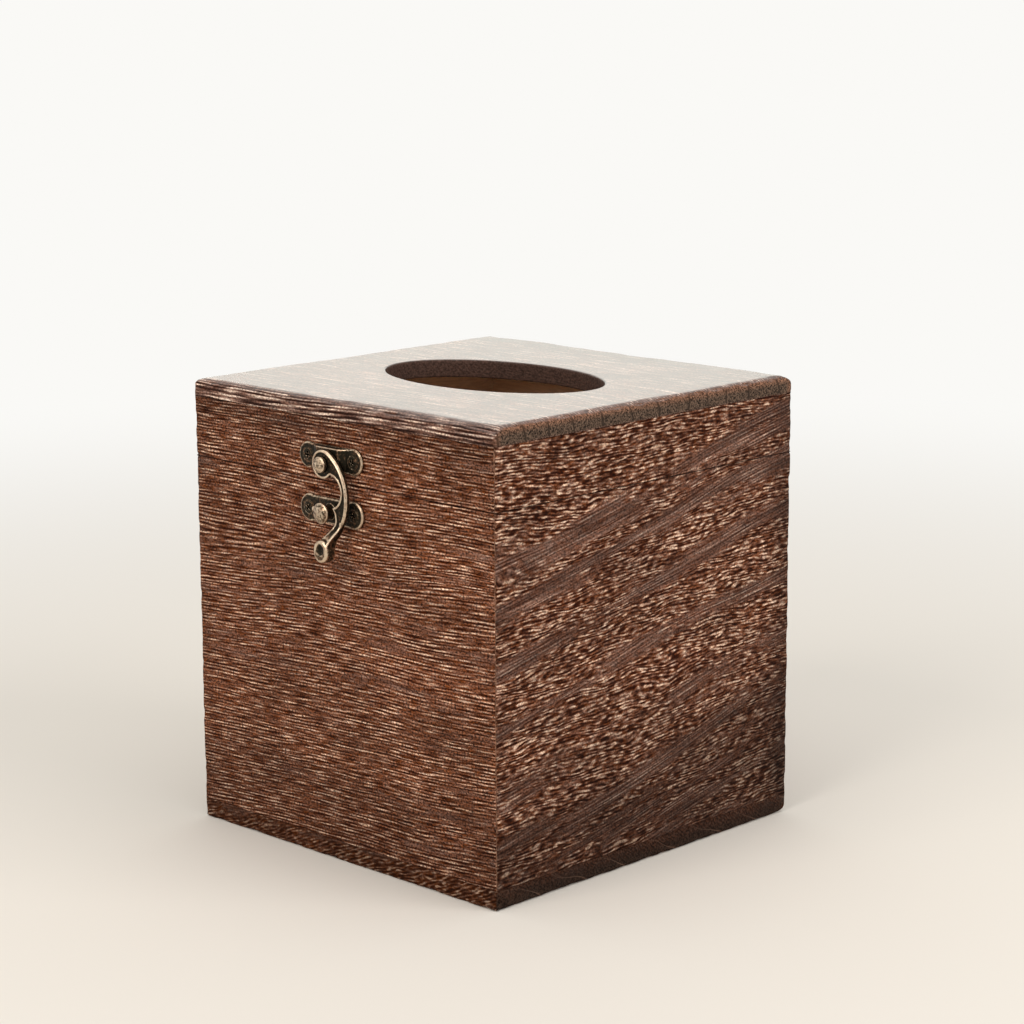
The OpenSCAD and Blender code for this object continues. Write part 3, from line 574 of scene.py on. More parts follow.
def charred_paulownia(side, cut, wood):
    """Light timber, toasted with a torch and wire-brushed: dark hollows, brown faces and bright grain lines."""
    made = bpy.data.materials.new(f"charred_brushed_paulownia_{side}")
    tree = shader_tree(made)
    position = add_node(tree, "TexCoord", out="Object")
    grain = grain_nodes(tree, position, cut)
    local, seed = grain["local"], cut["seed"]
    # Char stays in the hollows, the crests are bare and golden. Plain ribbons keep a more even brown
    flat = add_node(tree, "Attribute", attribute_name="level", out="Fac")
    calm = add_node(tree, "MapRange", {0: flat, 3: 1.0, 4: 1 - 0.55 * cut["sheen"]})
    depth = add_node(tree, "MapRange", {0: grain["figure"], 3: 0.75 * cut["contrast"], 4: cut["contrast"]})
    depth = add_node(tree, "Math", {0: depth, 1: calm}, operation="MULTIPLY")
    middle = 0.62
    body = add_node(tree, "Math", {0: grain["height"], 1: middle}, operation="SUBTRACT")
    body = add_node(tree, "Math", {0: body, 1: depth, 2: middle}, operation="MULTIPLY_ADD")
    tone = add_node(tree, "Mix", {0: body, 6: (*wood.char, 1), 7: (*wood.brown, 1)}, data_type="RGBA")
    glint = stretched_noise(tree, grain["woven"], (2 * cut["run"], 0.95, 0.95), seed + 11, 0.5)
    glint = add_node(tree, "MapRange", {0: glint, 1: 0.35, 2: 0.65, 3: cut["glint"][0], 4: cut["glint"][1]})
    bare = add_node(tree, "MapRange", {0: grain["figure"], 3: 0.5, 4: 0.85 * cut["contrast"]})
    end = add_node(tree, "Attribute", attribute_name="end", out="Fac")
    turned = add_node(tree, "MapRange", {0: end, 2: 0.3, 3: 1.0, 4: 0.0})
    for factor in (calm, turned, grain["crest"]):
        bare = add_node(tree, "Math", {0: bare, 1: factor}, operation="MULTIPLY")
    bare = add_node(tree, "Math", {0: bare, 1: glint}, operation="MULTIPLY", use_clamp=True)
    tone = add_node(tree, "Mix", {0: bare, 6: tone, 7: (*wood.gold, 1)}, data_type="RGBA")
    # Broad streaks along the plain ribbons, clouds of deeper toast, and fine pores like a weave
    sheet = add_node(tree, "MapRange", {0: grain["sheet"], 1: 0.3, 2: 0.7, 3: 0.7, 4: 1.3})
    sheet = add_node(tree, "Mix", {0: grain["figure"], 2: sheet, 3: 1.0})
    cloud = stretched_noise(tree, local, (26, 12, 12), seed + 5, 2.0)
    cloud = add_node(tree, "MapRange", {0: cloud, 1: 0.3, 2: 0.7, 3: 0.8, 4: 1.2})
    pores = stretched_noise(tree, local, (0.8, 0.6, 0.6), seed + 6, 1.0)
    pores = add_node(tree, "MapRange", {0: pores, 1: 0.3, 2: 0.7, 3: 1 - cut["weave"], 4: 1 + cut["weave"]})
    # The scorch is full 14 mm beyond its start
    start, scorch = cut["burnt"]
    full = start + math.copysign(14.0, start)
    torch = add_node(tree, "MapRange", {
        0: grain["u"], 1: start, 2: full, 3: 1.0, 4: scorch}, interpolation_type="SMOOTHSTEP")
    shade = 2.0
    for factor in (grain["tone"], sheet, cloud, pores, torch):
        shade = add_node(tree, "Math", {0: factor, 1: shade}, operation="MULTIPLY")
    tone = add_node(tree, "VectorMath", {0: tone, "Scale": shade}, operation="SCALE")
    # Some fibres took more of the red stain than others, and the hollows most of all
    tint = stretched_noise(tree, grain["woven"], (3.2, 0.8, 0.8), seed + 13, 1.0)
    tint = add_node(tree, "MapRange", {0: tint, 1: 0.3, 2: 0.7, 3: 0.87 * cut["red"], 4: 1.13 * cut["red"]})
    plain = add_node(tree, "MapRange", {0: grain["figure"], 3: 0.84, 4: 1.0})
    greyed = add_node(tree, "MapRange", {0: flat, 3: 1.0, 4: 1 - 0.1 * cut["sheen"]})
    deep = add_node(tree, "MapRange", {0: grain["height"], 3: 1.18, 4: 0.95})
    for factor in (plain, greyed, deep):
        tint = add_node(tree, "Math", {0: tint, 1: factor}, operation="MULTIPLY")
    tone = add_node(tree, "HueSaturation", {"Saturation": tint, "Color": tone})
    # Sawn ends show pores instead of lines, and the rings as thin strokes. Their edges were rubbed redder
    ends = cut["ends"]
    arris = add_node(tree, "Attribute", attribute_name="arris", out="Fac")
    speckle = stretched_noise(tree, local, (0.55, 0.55, 0.55), seed + 7, 1.0)
    speckle = add_node(tree, "MapRange", {0: speckle, 1: 0.34, 2: 0.66, 3: 0.15, 4: 1.85})
    drift = stretched_noise(tree, local, (24, 24, 24), seed + 8, 1.0)
    ring = add_node(tree, "VectorMath", {0: position, 1: Vector(ends["way"]) / MM}, operation="DOT_PRODUCT")
    ring = add_node(tree, "Math", {0: drift, 1: 1.2 * ends["ring"], 2: ring}, operation="MULTIPLY_ADD")
    ring = add_node(tree, "Math", {0: ring, 1: 2 * math.pi / ends["ring"]}, operation="MULTIPLY")
    ring = add_node(tree, "Math", {0: ring}, operation="SINE")
    ring = add_node(tree, "MapRange", {0: ring, 1: ends["line"], 2: 1.0})
    ring = add_node(tree, "Mix", {0: ring, 2: speckle, 3: ends["tone"]})
    rubbed = add_node(tree, "MapRange", {0: arris, 1: 3.2 * MM, 2: 0.4 * MM})
    sawn = add_node(tree, "Mix", {
        0: rubbed, 6: (*linear(ends["colour"]), 1), 7: (*linear(ends["edge"]), 1)}, data_type="RGBA")
    ring = add_node(tree, "Math", {0: ring, 1: torch}, operation="MULTIPLY")
    sawn = add_node(tree, "VectorMath", {0: sawn, "Scale": ring}, operation="SCALE")
    tone = add_node(tree, "Mix", {0: end, 6: tone, 7: sawn}, data_type="RGBA")
    # Joints took less light from the torch but more stain. The slot's edge is burnt, the inside is raw wood
    skin = add_node(tree, "Attribute", attribute_name="skin", out="Fac")
    stained = add_node(tree, "MapRange", {0: skin, 3: 0.45, 4: 1.0})
    tone = add_node(tree, "VectorMath", {0: tone, "Scale": stained}, operation="SCALE")
    raw = add_node(tree, "Attribute", attribute_name="raw", out="Fac")
    inside = add_node(tree, "MapRange", {0: grain["height"], 3: 0.9, 4: 1.06})
    inside = add_node(tree, "VectorMath", {0: tuple(wood.raw), "Scale": inside}, operation="SCALE")
    tone = add_node(tree, "Mix", {0: raw, 6: tone, 7: inside}, data_type="RGBA")
    bore = add_node(tree, "Attribute", attribute_name="bore", out="Fac")
    sooty = add_node(tree, "MapRange", {0: pores, 1: 0.3, 2: 1.7, 3: 0.45, 4: 1.55})
    burnt = add_node(tree, "VectorMath", {0: tuple(wood.bore), "Scale": sooty}, operation="SCALE")
    tone = add_node(tree, "Mix", {0: bore, 6: tone, 7: burnt}, data_type="RGBA")
    rough = add_node(tree, "MapRange", {0: grain["height"], 3: 0.74, 4: 0.58})
    bump_height = add_node(tree, "Math", {0: pores, 1: 0.3, 2: grain["height"]}, operation="MULTIPLY_ADD")
    bump_height = add_node(tree, "Mix", {0: end, 2: bump_height, 3: speckle})
    bump = add_node(tree, "Bump", {"Strength": 0.5, "Distance": wood.relief, "Height": bump_height})
    lacquer = 0.0
    if cut["sheen"]:
        # The lacquer pooled on the top board, which lay flat: its sheen ends at the rounded edges
        ragged = stretched_noise(tree, local, (11, 1.3, 1.3), seed + 14, 1.5)
        clean = add_node(tree, "MapRange", {0: end, 2: 0.3, 3: 1.1, 4: 0.0})
        ragged = add_node(tree, "Math", {0: ragged, 1: 0.5}, operation="SUBTRACT")
        ragged = add_node(tree, "Math", {0: ragged, 1: clean, 2: flat}, operation="MULTIPLY_ADD")
        ragged = add_node(tree, "MapRange", {0: ragged, 1: 0.25, 2: 0.8}, interpolation_type="SMOOTHSTEP")
        pooled = add_node(tree, "MapRange", {0: grain["height"], 3: 1.0, 4: 0.72})
        pooled = add_node(tree, "Math", {0: pooled, 1: ragged}, operation="MULTIPLY")
        lacquer = add_node(tree, "Math", {0: pooled, 1: cut["sheen"]}, operation="MULTIPLY")
    shader = add_node(tree, "BsdfPrincipled", {
        "Base Color": tone, "Roughness": rough, "Normal": bump, "IOR": 1.5,
        "Specular IOR Level": 0.06, "Coat Weight": lacquer, "Coat Roughness": 0.3})
    add_node(tree, "OutputMaterial", {"Surface": shader})
    return made


def geometry_tree(name, **inputs):
    """New geometry tree with a geometry, further inputs by name and kind, and a finish. Returns its inputs too."""
    tree = bpy.data.node_groups.new(name, "GeometryNodeTree")
    for key, kind in {"Geometry": "Geometry", **inputs, "Finish": "Material"}.items():
        tree.interface.new_socket(key, in_out="INPUT", socket_type=f"NodeSocket{kind}")
    tree.interface.new_socket("Geometry", in_out="OUTPUT", socket_type="NodeSocketGeometry")
    return tree, add_node(tree, "NodeGroupInput").node.outputs


def end_tree(tree, geometry, finish):
    """Ends a geometry tree: instances become real, and all faces get the finish."""
    whole = add_node(tree, "GeometryNodeRealizeInstances", {"Geometry": geometry})
    whole = add_node(tree, "GeometryNodeSetMaterial", {"Geometry": whole, "Material": finish})
    add_node(tree, "NodeGroupOutput", {"Geometry": whole})


def relief_tree(side, cut):
    """Geometry tree that cuts the board's own grain into its outer faces."""
    tree, group = geometry_tree(f"brushed_relief_{side}", Depth="Float")
    place = add_node(tree, "GeometryNodeInputPosition")
    height = grain_nodes(tree, place, cut)["height"]
    skin, arris, end, level = [
        add_node(tree, "GeometryNodeInputNamedAttribute", {"Name": name}, data_type="FLOAT")
        for name in ("skin", "arris", "end", "level")]
    flank = add_node(tree, "Math", {0: 1.0, 1: end}, operation="SUBTRACT")
    # Lacquer has filled most of the grain where the top board is level
    bare = add_node(tree, "MapRange", {0: level, 3: 1.0 + 0.6 * cut["sheen"], 4: 1 - 0.85 * cut["sheen"]})
    inset = add_node(tree, "MapRange", {0: arris, 1: 0.0, 2: 1.5 * MM})
    depth = add_node(tree, "Math", {0: height, 1: 1.0}, operation="SUBTRACT")
    for factor in (skin, flank, inset, bare, group["Depth"]):
        depth = add_node(tree, "Math", {0: depth, 1: factor}, operation="MULTIPLY")
    normal = add_node(tree, "GeometryNodeInputNormal")
    offset = add_node(tree, "VectorMath", {0: normal, "Scale": depth}, operation="SCALE")
    brushed = add_node(tree, "GeometryNodeSetPosition", {"Geometry": group["Geometry"], "Offset": offset})
    end_tree(tree, brushed, group["Finish"])
    return tree


def settle(made):
    """Turns what an object's modifiers make into its plain mesh."""
    bpy.context.view_layer.update()
    result = bpy.data.meshes.new_from_object(made.evaluated_get(bpy.context.evaluated_depsgraph_get()))
    made.modifiers.clear()
    old, made.data = made.data, result
    result.name = made.name
    bpy.data.meshes.remove(old)
    return result


def apply_tree(made, tree, inputs):
    """Runs a geometry tree on an object, whose mesh becomes the plain result."""
    modifier = made.modifiers.new("shape", "NODES")
    modifier.node_group = tree
    names = {item.name: item.identifier for item in tree.interface.items_tree if item.in_out == "INPUT"}
    for name, value in inputs.items():
        modifier[names[name]] = value
    settle(made)


def dress(made, body, node):
    """Puts a finished piece on its body in place of its node."""
    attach(made, body)
    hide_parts(node)


def board_material(side):
    """The material of a board, made once for the base and the lid."""
    name = f"charred_brushed_paulownia_{side}"
    return bpy.data.materials.get(name) or charred_paulownia(side, CUTS[side], bpy.context.scene.tissue_box_wood)


def finish_board(made, side, body, node):
    """Brushes the grain into a board and puts it in place."""
    depth = bpy.context.scene.tissue_box_wood.relief
    apply_tree(made, relief_tree(side, CUTS[side]), {"Depth": depth, "Finish": board_material(side)})
    dress(made, body, node)


# Cast metal

def merged_copy(node):
    """Copy of a node's mesh to edit, with its loose triangles joined."""
    edit = bmesh.new()
    edit.from_mesh(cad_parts[node].data)
    bmesh.ops.remove_doubles(edit, verts=edit.verts, dist=1e-7)
    return edit


def smoothed(points, edges, rounds, amount=0.5):
    """Points drawn towards the mean of their neighbours, so many rounds."""
    count = np.bincount(edges.ravel(), minlength=len(points))[:, None]
    for _ in range(rounds):
        total = np.zeros_like(points)
        for axis in range(3):
            total[:, axis] = (np.bincount(edges[:, 0], points[edges[:, 1], axis], len(points))
                              + np.bincount(edges[:, 1], points[edges[:, 0], axis], len(points)))
        points = points + amount * (total / count - points)
    return points


def cast(made, voxel, rounds, polish, hollow=0.0, blend=None):
    """Turns an object into a casting: soft edges, and an attribute high where hands polish it and, as painted light,
    far out from the box.
    Blend is a height and a reach within which steps are filed smooth."""
    filing, easing, levelling = 40, 3, 16
    remesh = made.modifiers.new("cast", "REMESH")
    remesh.mode = "VOXEL"
    remesh.voxel_size = voxel
    result = settle(made)
    edges = read(result.edges, "vertices", int, 2)
    points = smoothed(read(result.vertices, "co"), edges, rounds)
    if blend:
        share = np.exp(-((points[:, 2] - blend[0]) / blend[1]) ** 2)[:, None]
        points = points + share * (smoothed(points, edges, filing) - points)
    rim = 0
    if hollow:
        points, rim = hollow_front(result, points, hollow)
        points = smoothed(points, edges, easing)
    result.vertices.foreach_set("co", points.ravel())
    result.update()
    # Hands polish what stands proud of a smoother casting. Far out from the box is painted light, close to it painted
    # shade
    proud = 0.045 * MM
    lift = ((points - smoothed(points, edges, levelling)) * read(result.vertex_normals, "vector")).sum(1)
    out = abs(points[:, 1]) - HALF_D
    rub = np.clip(lift / proud, -1, 1.3) + polish + 0.5 * rising(out, 2.5 * MM, 4 * MM) + 0.5 * rim
    add_attribute(result, "rub", rub)
    result.shade_smooth()


def hollow_front(mesh, points, depth):
    """Sinks the front of a casting between its edges, but not where it stands out furthest. Returns its rim too."""
    land, slope = 0.35 * MM, 0.7 * MM
    facing = -read(mesh.vertex_normals, "vector")[:, 1]
    sides = np.flatnonzero(abs(facing) < 0.5)
    tree = kdtree.KDTree(len(sides))
    for i in sides:
        tree.insert((points[i, 0], 0, points[i, 2]), int(i))
    tree.balance()
    sunk = points.copy()
    rim = np.zeros(len(points))
    out = -points[:, 1] - HALF_D
    kept = 1 - rising(out / out.max(), 0.5, 0.12)
    for i in np.flatnonzero(facing > 0.5):
        gap = tree.find((points[i, 0], 0, points[i, 2]))[2]
        share = rising(gap, land, slope)
        sunk[i, 1] += depth * kept[i] * share * share * (3 - 2 * share)
        rim[i] = 1 - share
    return sunk, rim


def antique_bronze(name, bronze):
    """Cast zinc with a bronze plating, blackened and then rubbed: dark in the hollows, pale on the edges, with
    painted shade near the box and painted light far from it.
    """
    made = bpy.data.materials.new(name)
    tree = shader_tree(made)
    position = add_node(tree, "TexCoord", out="Object")
    rub = add_node(tree, "Attribute", attribute_name="rub", out="Fac")
    # Clouds of the patina, spots of the plating and the grain of the casting, by their size
    mottle, blush, grit = [
        add_node(tree, "TexNoise", {"Vector": position, "Scale": 1 / (size * MM), "Detail": detail})
        for size, detail in ((0.8, 3.0), (1.6, 2.0), (0.22, 2.0))]
    uneven = add_node(tree, "Math", {0: mottle, 1: 1.6, 2: -0.8}, operation="MULTIPLY_ADD")
    # Worn metal goes on edges and rims, and as painted light on parts far out from the box; patina goes in the
    # hollows, and as painted shade on parts close to it
    place = add_node(tree, "Math", {0: rub, 1: uneven}, operation="ADD")
    rubbed = add_node(tree, "MapRange", {0: place, 1: 0.2, 2: 0.7}, interpolation_type="SMOOTHSTEP")
    dark = add_node(tree, "MapRange", {0: place, 1: 0.12, 2: -0.3}, interpolation_type="SMOOTHSTEP")
    # The plating shows as copper in spots, on the worn places too
    spots = add_node(tree, "MapRange", {0: blush, 1: 0.46, 2: 0.64, 4: 0.45}, interpolation_type="SMOOTHSTEP")
    tone = add_node(tree, "Mix", {0: spots, 6: (*bronze.bronze, 1), 7: (*bronze.copper, 1)}, data_type="RGBA")
    bright = add_node(tree, "Mix", {0: spots, 6: (*bronze.worn, 1), 7: (*bronze.copper, 1)}, data_type="RGBA")
    tone = add_node(tree, "Mix", {0: dark, 6: tone, 7: (*bronze.patina, 1)}, data_type="RGBA")
    tone = add_node(tree, "Mix", {0: rubbed, 6: tone, 7: bright}, data_type="RGBA")
    rough = add_node(tree, "MapRange", {0: rubbed, 3: 0.5, 4: 0.28})
    bump = add_node(tree, "Bump", {"Strength": 0.5, "Distance": 0.03 * MM, "Height": grit})
    shader = add_node(tree, "BsdfPrincipled", {
        "Base Color": tone, "Metallic": 1.0, "Roughness": rough, "Normal": bump})
    add_node(tree, "OutputMaterial", {"Surface": shader})
    return made


def bronze_material():
    """The one bronze of the latch, hinges and screws."""
    name = "antique_bronze_plated_casting"
    return bpy.data.materials.get(name) or antique_bronze(name, bpy.context.scene.tissue_box_bronze)


def finish_casting(node, body, voxel, rounds=4, polish=-0.3, hollow=0.0, blend=None):
    """Casts a node anew and puts it in place."""
    made = edit_object(f"{node}_cast", merged_copy(node))
    cast(made, voxel, rounds, polish, hollow, blend)
    made.data.materials.clear()
    made.data.materials.append(bronze_material())
    dress(made, body, node)


# Screws

def screw_boxes(node):
    """Lowest and highest corner of every separate screw of a node."""
    edit = merged_copy(node)
    left = set(edit.verts)
    boxes = []
    while left:
        found = [left.pop()]
        for vertex in found:
            for edge in vertex.link_edges:
                other = edge.other_vert(vertex)
                if other in left:
                    left.discard(other)
                    found.append(other)
        corners = np.array([vertex.co for vertex in found])
        boxes.append((corners.min(0), corners.max(0)))
    edit.free()
    return sorted(boxes, key=lambda box: (box[0][0], box[0][2]))


def screw_blank(name, radius, length, bronze):
    """One cross-head screw, the top of its head at the origin and facing up, as deep as it is long."""
    crown, slope, edge, tip = 0.3 * MM, 0.8 * MM, 0.05 * MM, 1.2 * MM
    shank, corners = 0.42 * radius, 48
    profile = [(0.1 * shank, -length), (shank, -length + tip), (shank, -crown - slope), (radius - edge, -crown),
               (radius - edge, -0.8 * crown), (0.93 * radius, -0.45 * crown), (0.8 * radius, -0.16 * crown),
               (0.55 * radius, -0.03 * crown), (0.1 * radius, 0)]
    angle = np.linspace(0, 2 * math.pi, corners + 1)[:-1]
    rings = np.array([[(r * math.cos(a), r * math.sin(a), z) for a in angle] for r, z in profile])
    made = grid_object(name, rings, False, {}, (0, 0, 1))
    # The recess is a cross whose arms narrow downwards
    reach, half = 0.66 * radius, bronze.recess_width / 2
    cross = [(reach, -half), (reach, half), (half, half), (half, reach), (-half, reach), (-half, half),
             (-reach, half), (-reach, -half), (-half, -half), (-half, -reach), (half, -reach), (half, -half)]
    levels = ((1.0, crown), (0.55, -bronze.recess_depth))
    rings = np.array([[(k * x, k * y, z) for x, y in cross] for k, z in levels])
    cutter = grid_object("recess", rings, False, {}, (0, 0, 1))
    recess = made.modifiers.new("recess", "BOOLEAN")
    recess.operation = "DIFFERENCE"
    recess.solver = "EXACT"
    recess.object = cutter
    cast(made, bronze.voxel / 2, 3, -0.35)
    bpy.data.objects.remove(cutter)
    return made


def screws_tree():
    """Geometry tree that sets a screw on every point, each driven home to another angle."""
    tree, group = geometry_tree("screws", Screw="Object", Seed="Int")
    facing = add_node(tree, "GeometryNodeInputNamedAttribute", {"Name": "facing"}, data_type="FLOAT_VECTOR")
    way = add_node(tree, "FunctionNodeAlignRotationToVector", {"Vector": facing}, axis="Z")
    turn = add_node(tree, "FunctionNodeRandomValue", {"Max": 2 * math.pi, "Seed": group["Seed"]}, data_type="FLOAT")
    turn = add_node(tree, "FunctionNodeAxisAngleToRotation", {"Axis": (0, 0, 1), "Angle": turn})
    way = add_node(tree, "FunctionNodeRotateRotation", {0: way, 1: turn}, rotation_space="LOCAL")
    screw = add_node(tree, "GeometryNodeObjectInfo", {"Object": group["Screw"], "As Instance": True}, out="Geometry")
    placed = add_node(tree, "GeometryNodeInstanceOnPoints", {
        "Points": group["Geometry"], "Instance": screw, "Rotation": way})
    end_tree(tree, placed, group["Finish"])
    return tree


def finish_screws(node, body, seed):
    """Sets the screws of a node, their heads where the frame has them."""
    boxes = screw_boxes(node)
    low, high = boxes[0]
    bronze = bpy.context.scene.tissue_box_bronze
    blank = screw_blank(f"{node}_blank", (high[0] - low[0]) / 2, high[1] - low[1], bronze)
    mesh = bpy.data.meshes.new(node)
    ways = [math.copysign(1, low[1]) for low, high in boxes]
    places = [((low[0] + high[0]) / 2, low[1] if way < 0 else high[1], (low[2] + high[2]) / 2)
              for way, (low, high) in zip(ways, boxes)]
    mesh.from_pydata(places, [], [])
    add_attribute(mesh, "facing", [(0, way, 0) for way in ways], "FLOAT_VECTOR")
    made = link_object(f"{node}_set", mesh)
    tree = bpy.data.node_groups.get("screws") or screws_tree()
    apply_tree(made, tree, {"Screw": blank, "Seed": seed, "Finish": bronze_material()})
    bpy.data.objects.remove(blank)
    dress(made, body, node)


# Operators

def finish_walls(body, low, high):
    """Builds the four walls of the base or the lid."""
    wood = bpy.context.scene.tissue_box_wood
    for turn, side in enumerate(SIDES):
        made = wall_object(f"{body}_{side}_board", turn, low, high, wood.wear, wood.mesh_step)
        finish_board(made, side, body, f"{body}_{side}_wall")


class TISSUEBOX_OT_base(bpy.types.Operator):
    """Builds the boards of the lower box"""
    bl_idname = "tissue_box.base"
    bl_label = "Build the lower box"

    def execute(self, context):
        wood = context.scene.tissue_box_wood
        finish_board(bottom_object("bottom_board", wood.wear, wood.mesh_step), "bottom", "base", "bottom_panel")
        finish_walls("base", BOTTOM_JOINT, SAW_LOW)
        return {"FINISHED"}


class TISSUEBOX_OT_lid(bpy.types.Operator):
    """Builds the boards of the lid"""
    bl_idname = "tissue_box.lid"
    bl_label = "Build the lid"

    def execute(self, context):
        wood = context.scene.tissue_box_wood
        finish_board(top_object("top_board", wood.wear, wood.mesh_step), "top", "lid", "top_panel")
        finish_walls("lid", SAW_HIGH, TOP_JOINT)
        return {"FINISHED"}


class TISSUEBOX_OT_latch(bpy.types.Operator):
    """Casts the plates, the rivet and the arm of the latch"""
    bl_idname = "tissue_box.latch"
    bl_label = "Cast the latch"

    def execute(self, context):
        voxel = context.scene.tissue_box_bronze.voxel
        finish_casting("catch_plate", "base", voxel, polish=-0.22)
        finish_casting("latch_plate", "lid", voxel)
        finish_casting("latch_rivet", "lid", voxel)
        # The tail begins at this share of the arm's height from its top
        tail_share, step_reach = 0.658, 1.8 * MM
        low, high = (corner.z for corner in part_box("latch_arm"))
        blend = (high - tail_share * (high - low), step_reach)
        finish_casting("latch_arm", "arm", voxel, rounds=16, polish=-0.45, hollow=0.3 * MM, blend=blend)
        return {"FINISHED"}


class TISSUEBOX_OT_hinges(bpy.types.Operator):
    """Stamps the leaves and pins of the hinges"""
    bl_idname = "tissue_box.hinges"
    bl_label = "Stamp the hinges"

    def execute(self, context):
        voxel = context.scene.tissue_box_bronze.voxel
        for side in ("left", "right"):
            finish_casting(f"hinge_{side}_base_leaf", "base", voxel)
            finish_casting(f"hinge_{side}_lid_leaf", "lid", voxel)
            finish_casting(f"hinge_{side}_pin", "base", voxel)
        return {"FINISHED"}


class TISSUEBOX_OT_screws(bpy.types.Operator):
    """Turns the screws and drives them home"""
    bl_idname = "tissue_box.screws"
    bl_label = "Drive the screws"

    def execute(self, context):
        for node, body, seed in (("catch_plate_screws", "base", 3), ("latch_plate_screws", "lid", 7),
                                 ("hinge_base_screws", "base", 12), ("hinge_lid_screws", "lid", 18)):
            finish_screws(node, body, seed)
        return {"FINISHED"}


def camera_axes(stage):
    """Right, up and back of the camera."""
    a, e = stage.azimuth, stage.elevation
    back = Vector((math.sin(a) * math.cos(e), -math.cos(a) * math.cos(e), math.sin(e)))
    right = Vector((math.cos(a), math.sin(a), 0))
    up = back.cross(right)
    c, s = math.cos(stage.roll), math.sin(stage.roll)
    return right * c - up * s, right * s + up * c, back


# Lamps: metres to the right of the camera's line, away from the camera and up, from the middle of the box, then the
# width and height of the lamp, its power and its colour
LAMPS = {
    "key_lamp": (-0.9, -1.0, 0.8, (0.9, 0.9), 9.0, "#fff6ea"),
    "fill_lamp": (1.1, -0.6, 0.5, (0.9, 0.9), 8.0, "#fff9f2"),
    "sky_lamp": (0.0, -0.2, 1.6, (1.6, 1.6), 9.0, "#fffdf8"),
    "window_lamp": (0.0, 2.4, 0.62, (3.2, 1.1), 14.8, "#f9fdf1"),
}
# Heights that the lamps face and that the camera's aim starts from
LAMP_TARGET = 0.09
AIM = TOP / 2 - 0.5 * MM
# Distances in metres at which the floor begins to fade and has the backdrop's colour
FLOOR_FADE = (0.16, 0.9)


def add_lamp(name, place, target, size, power, colour):
    """Rectangular lamp that faces the target and isn't seen itself."""
    data = bpy.data.lights.new(name, "AREA")
    data.shape = "RECTANGLE"
    data.size, data.size_y = size
    data.energy = power
    data.color = linear(colour)
    made = link_object(name, data)
    made.location = place
    made.rotation_mode = "QUATERNION"
    made.rotation_quaternion = (Vector(target) - Vector(place)).to_track_quat("-Z", "Y")
    made.visible_camera = False


class TISSUEBOX_OT_stage(bpy.types.Operator):
    """Sets the floor, the backdrop, the lamps and the camera"""
    bl_idname = "tissue_box.stage"
    bl_label = "Set the stage"

    def execute(self, context):
        stage = context.scene.tissue_box_stage
        right, up, back = camera_axes(stage)
        centre = Vector((0, 0, AIM))
        data = bpy.data.cameras.new("camera")
        data.lens = stage.lens
        data.sensor_width = 36.0
        data.clip_start = 0.01
        camera = link_object("camera", data)
        camera.matrix_world = Matrix.Translation(
            centre + right * stage.aim_right + up * stage.aim_up + back * stage.distance
        ) @ Matrix((right, up, back)).transposed().to_4x4()
        context.scene.camera = camera
        set_floor(stage)
        away = Vector((-back.x, -back.y, 0)).normalized()
        side = Vector((right.x, right.y, 0)).normalized()
        middle = Vector((0, 0, LAMP_TARGET))
        for name, (across, behind, above, size, power, colour) in LAMPS.items():
            place = middle + side * across + away * behind + Vector((0, 0, above))
            add_lamp(name, place, middle, size, power, colour)
        world = bpy.data.worlds.new("studio")
        tree = shader_tree(world)
        seen = seen_rays(tree)
        glow = add_node(tree, "Background", {"Color": (*linear("#fbf8f4"), 1), "Strength": 0.45})
        white = add_node(tree, "Background", {"Color": (*stage.backdrop, 1), "Strength": 1.0})
        mixed = add_node(tree, "MixShader", {0: seen, 1: glow, 2: white})
        add_node(tree, "OutputWorld", {"Surface": mixed})
        context.scene.world = world
        context.scene.view_settings.view_transform = "Standard"
        return {"FINISHED"}


def seen_rays(tree):
    """1 for rays that come from the camera, straight or by a reflection, and 0 for those that carry light."""
    rays = add_node(tree, "LightPath").node.outputs
    seen = add_node(tree, "Math", {0: rays["Is Camera Ray"], 1: rays["Is Glossy Ray"]}, operation="MAXIMUM")
    return add_node(tree, "Math", {0: seen, 1: rays["Is Transmission Ray"]}, operation="MAXIMUM")


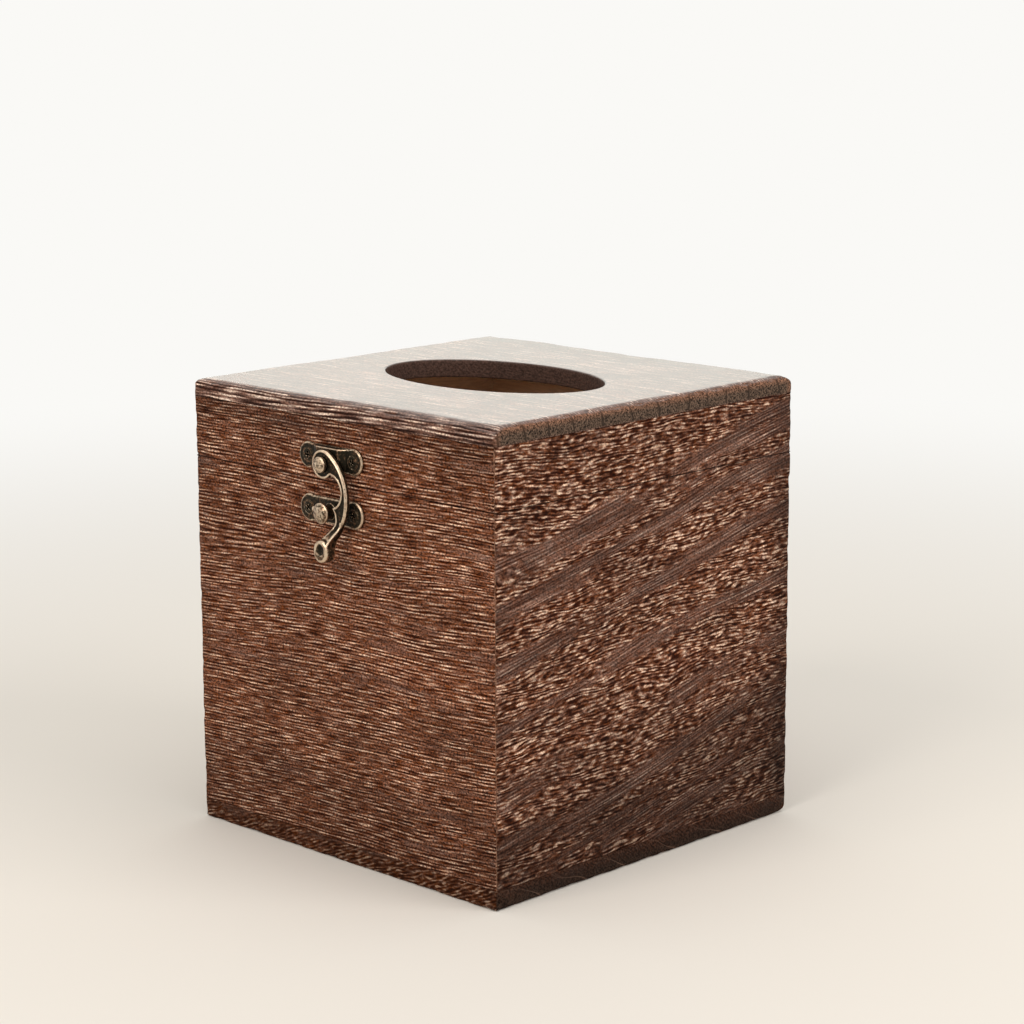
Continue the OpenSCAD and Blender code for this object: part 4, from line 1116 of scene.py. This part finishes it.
def set_floor(stage):
    """Floor of pale paper that catches the shadow and fades into the backdrop's colour with distance."""
    edit = bmesh.new()
    bmesh.ops.create_circle(edit, cap_ends=True, radius=20.0, segments=96)
    floor = edit_object("floor", edit)
    made = bpy.data.materials.new("matt_studio_paper")
    tree = shader_tree(made)
    paper = add_node(tree, "BsdfDiffuse", {"Color": (*stage.floor, 1)})
    glow = add_node(tree, "Emission", {"Color": (*stage.backdrop, 1), "Strength": 1.0})
    place = add_node(tree, "TexCoord", out="Object")
    reach = add_node(tree, "VectorMath", {0: place}, operation="LENGTH")
    near, far = FLOOR_FADE
    far = add_node(tree, "MapRange", {0: reach, 1: near, 2: far}, interpolation_type="SMOOTHSTEP")
    share = add_node(tree, "Math", {0: seen_rays(tree), 1: far}, operation="MULTIPLY")
    mixed = add_node(tree, "MixShader", {0: share, 1: paper, 2: glow})
    add_node(tree, "OutputMaterial", {"Surface": mixed})
    floor.data.materials.append(made)


class TISSUEBOX_PT_panel(bpy.types.Panel):
    """Panel with the settings and the steps of the tissue box cover"""
    bl_idname = "TISSUEBOX_PT_panel"
    bl_label = "Tissue box cover"
    bl_space_type = "VIEW_3D"
    bl_region_type = "UI"
    bl_category = "Tissue box"

    def draw(self, context):
        for step in STEPS:
            self.layout.operator(step.bl_idname)
        for name in SETTINGS:
            group = getattr(context.scene, name)
            column = self.layout.column()
            for key in group.__annotations__:
                column.prop(group, key)


SETTINGS = {
    "tissue_box_wood": WoodSettings,
    "tissue_box_bronze": BronzeSettings,
    "tissue_box_stage": StageSettings,
}
STEPS = (TISSUEBOX_OT_base, TISSUEBOX_OT_lid, TISSUEBOX_OT_latch, TISSUEBOX_OT_hinges, TISSUEBOX_OT_screws,
         TISSUEBOX_OT_stage)


def register():
    for made in (*SETTINGS.values(), *STEPS, TISSUEBOX_PT_panel):
        bpy.utils.register_class(made)
    for name, group in SETTINGS.items():
        setattr(bpy.types.Scene, name, bpy.props.PointerProperty(type=group))


def unregister():
    for name in SETTINGS:
        delattr(bpy.types.Scene, name)
    for made in reversed((*SETTINGS.values(), *STEPS, TISSUEBOX_PT_panel)):
        bpy.utils.unregister_class(made)


def main():
    register()
    bpy.ops.tissue_box.base()
    bpy.ops.tissue_box.lid()
    bpy.ops.tissue_box.latch()
    bpy.ops.tissue_box.hinges()
    bpy.ops.tissue_box.screws()
    bpy.ops.tissue_box.stage()


if __name__ == "__main__":
    main()
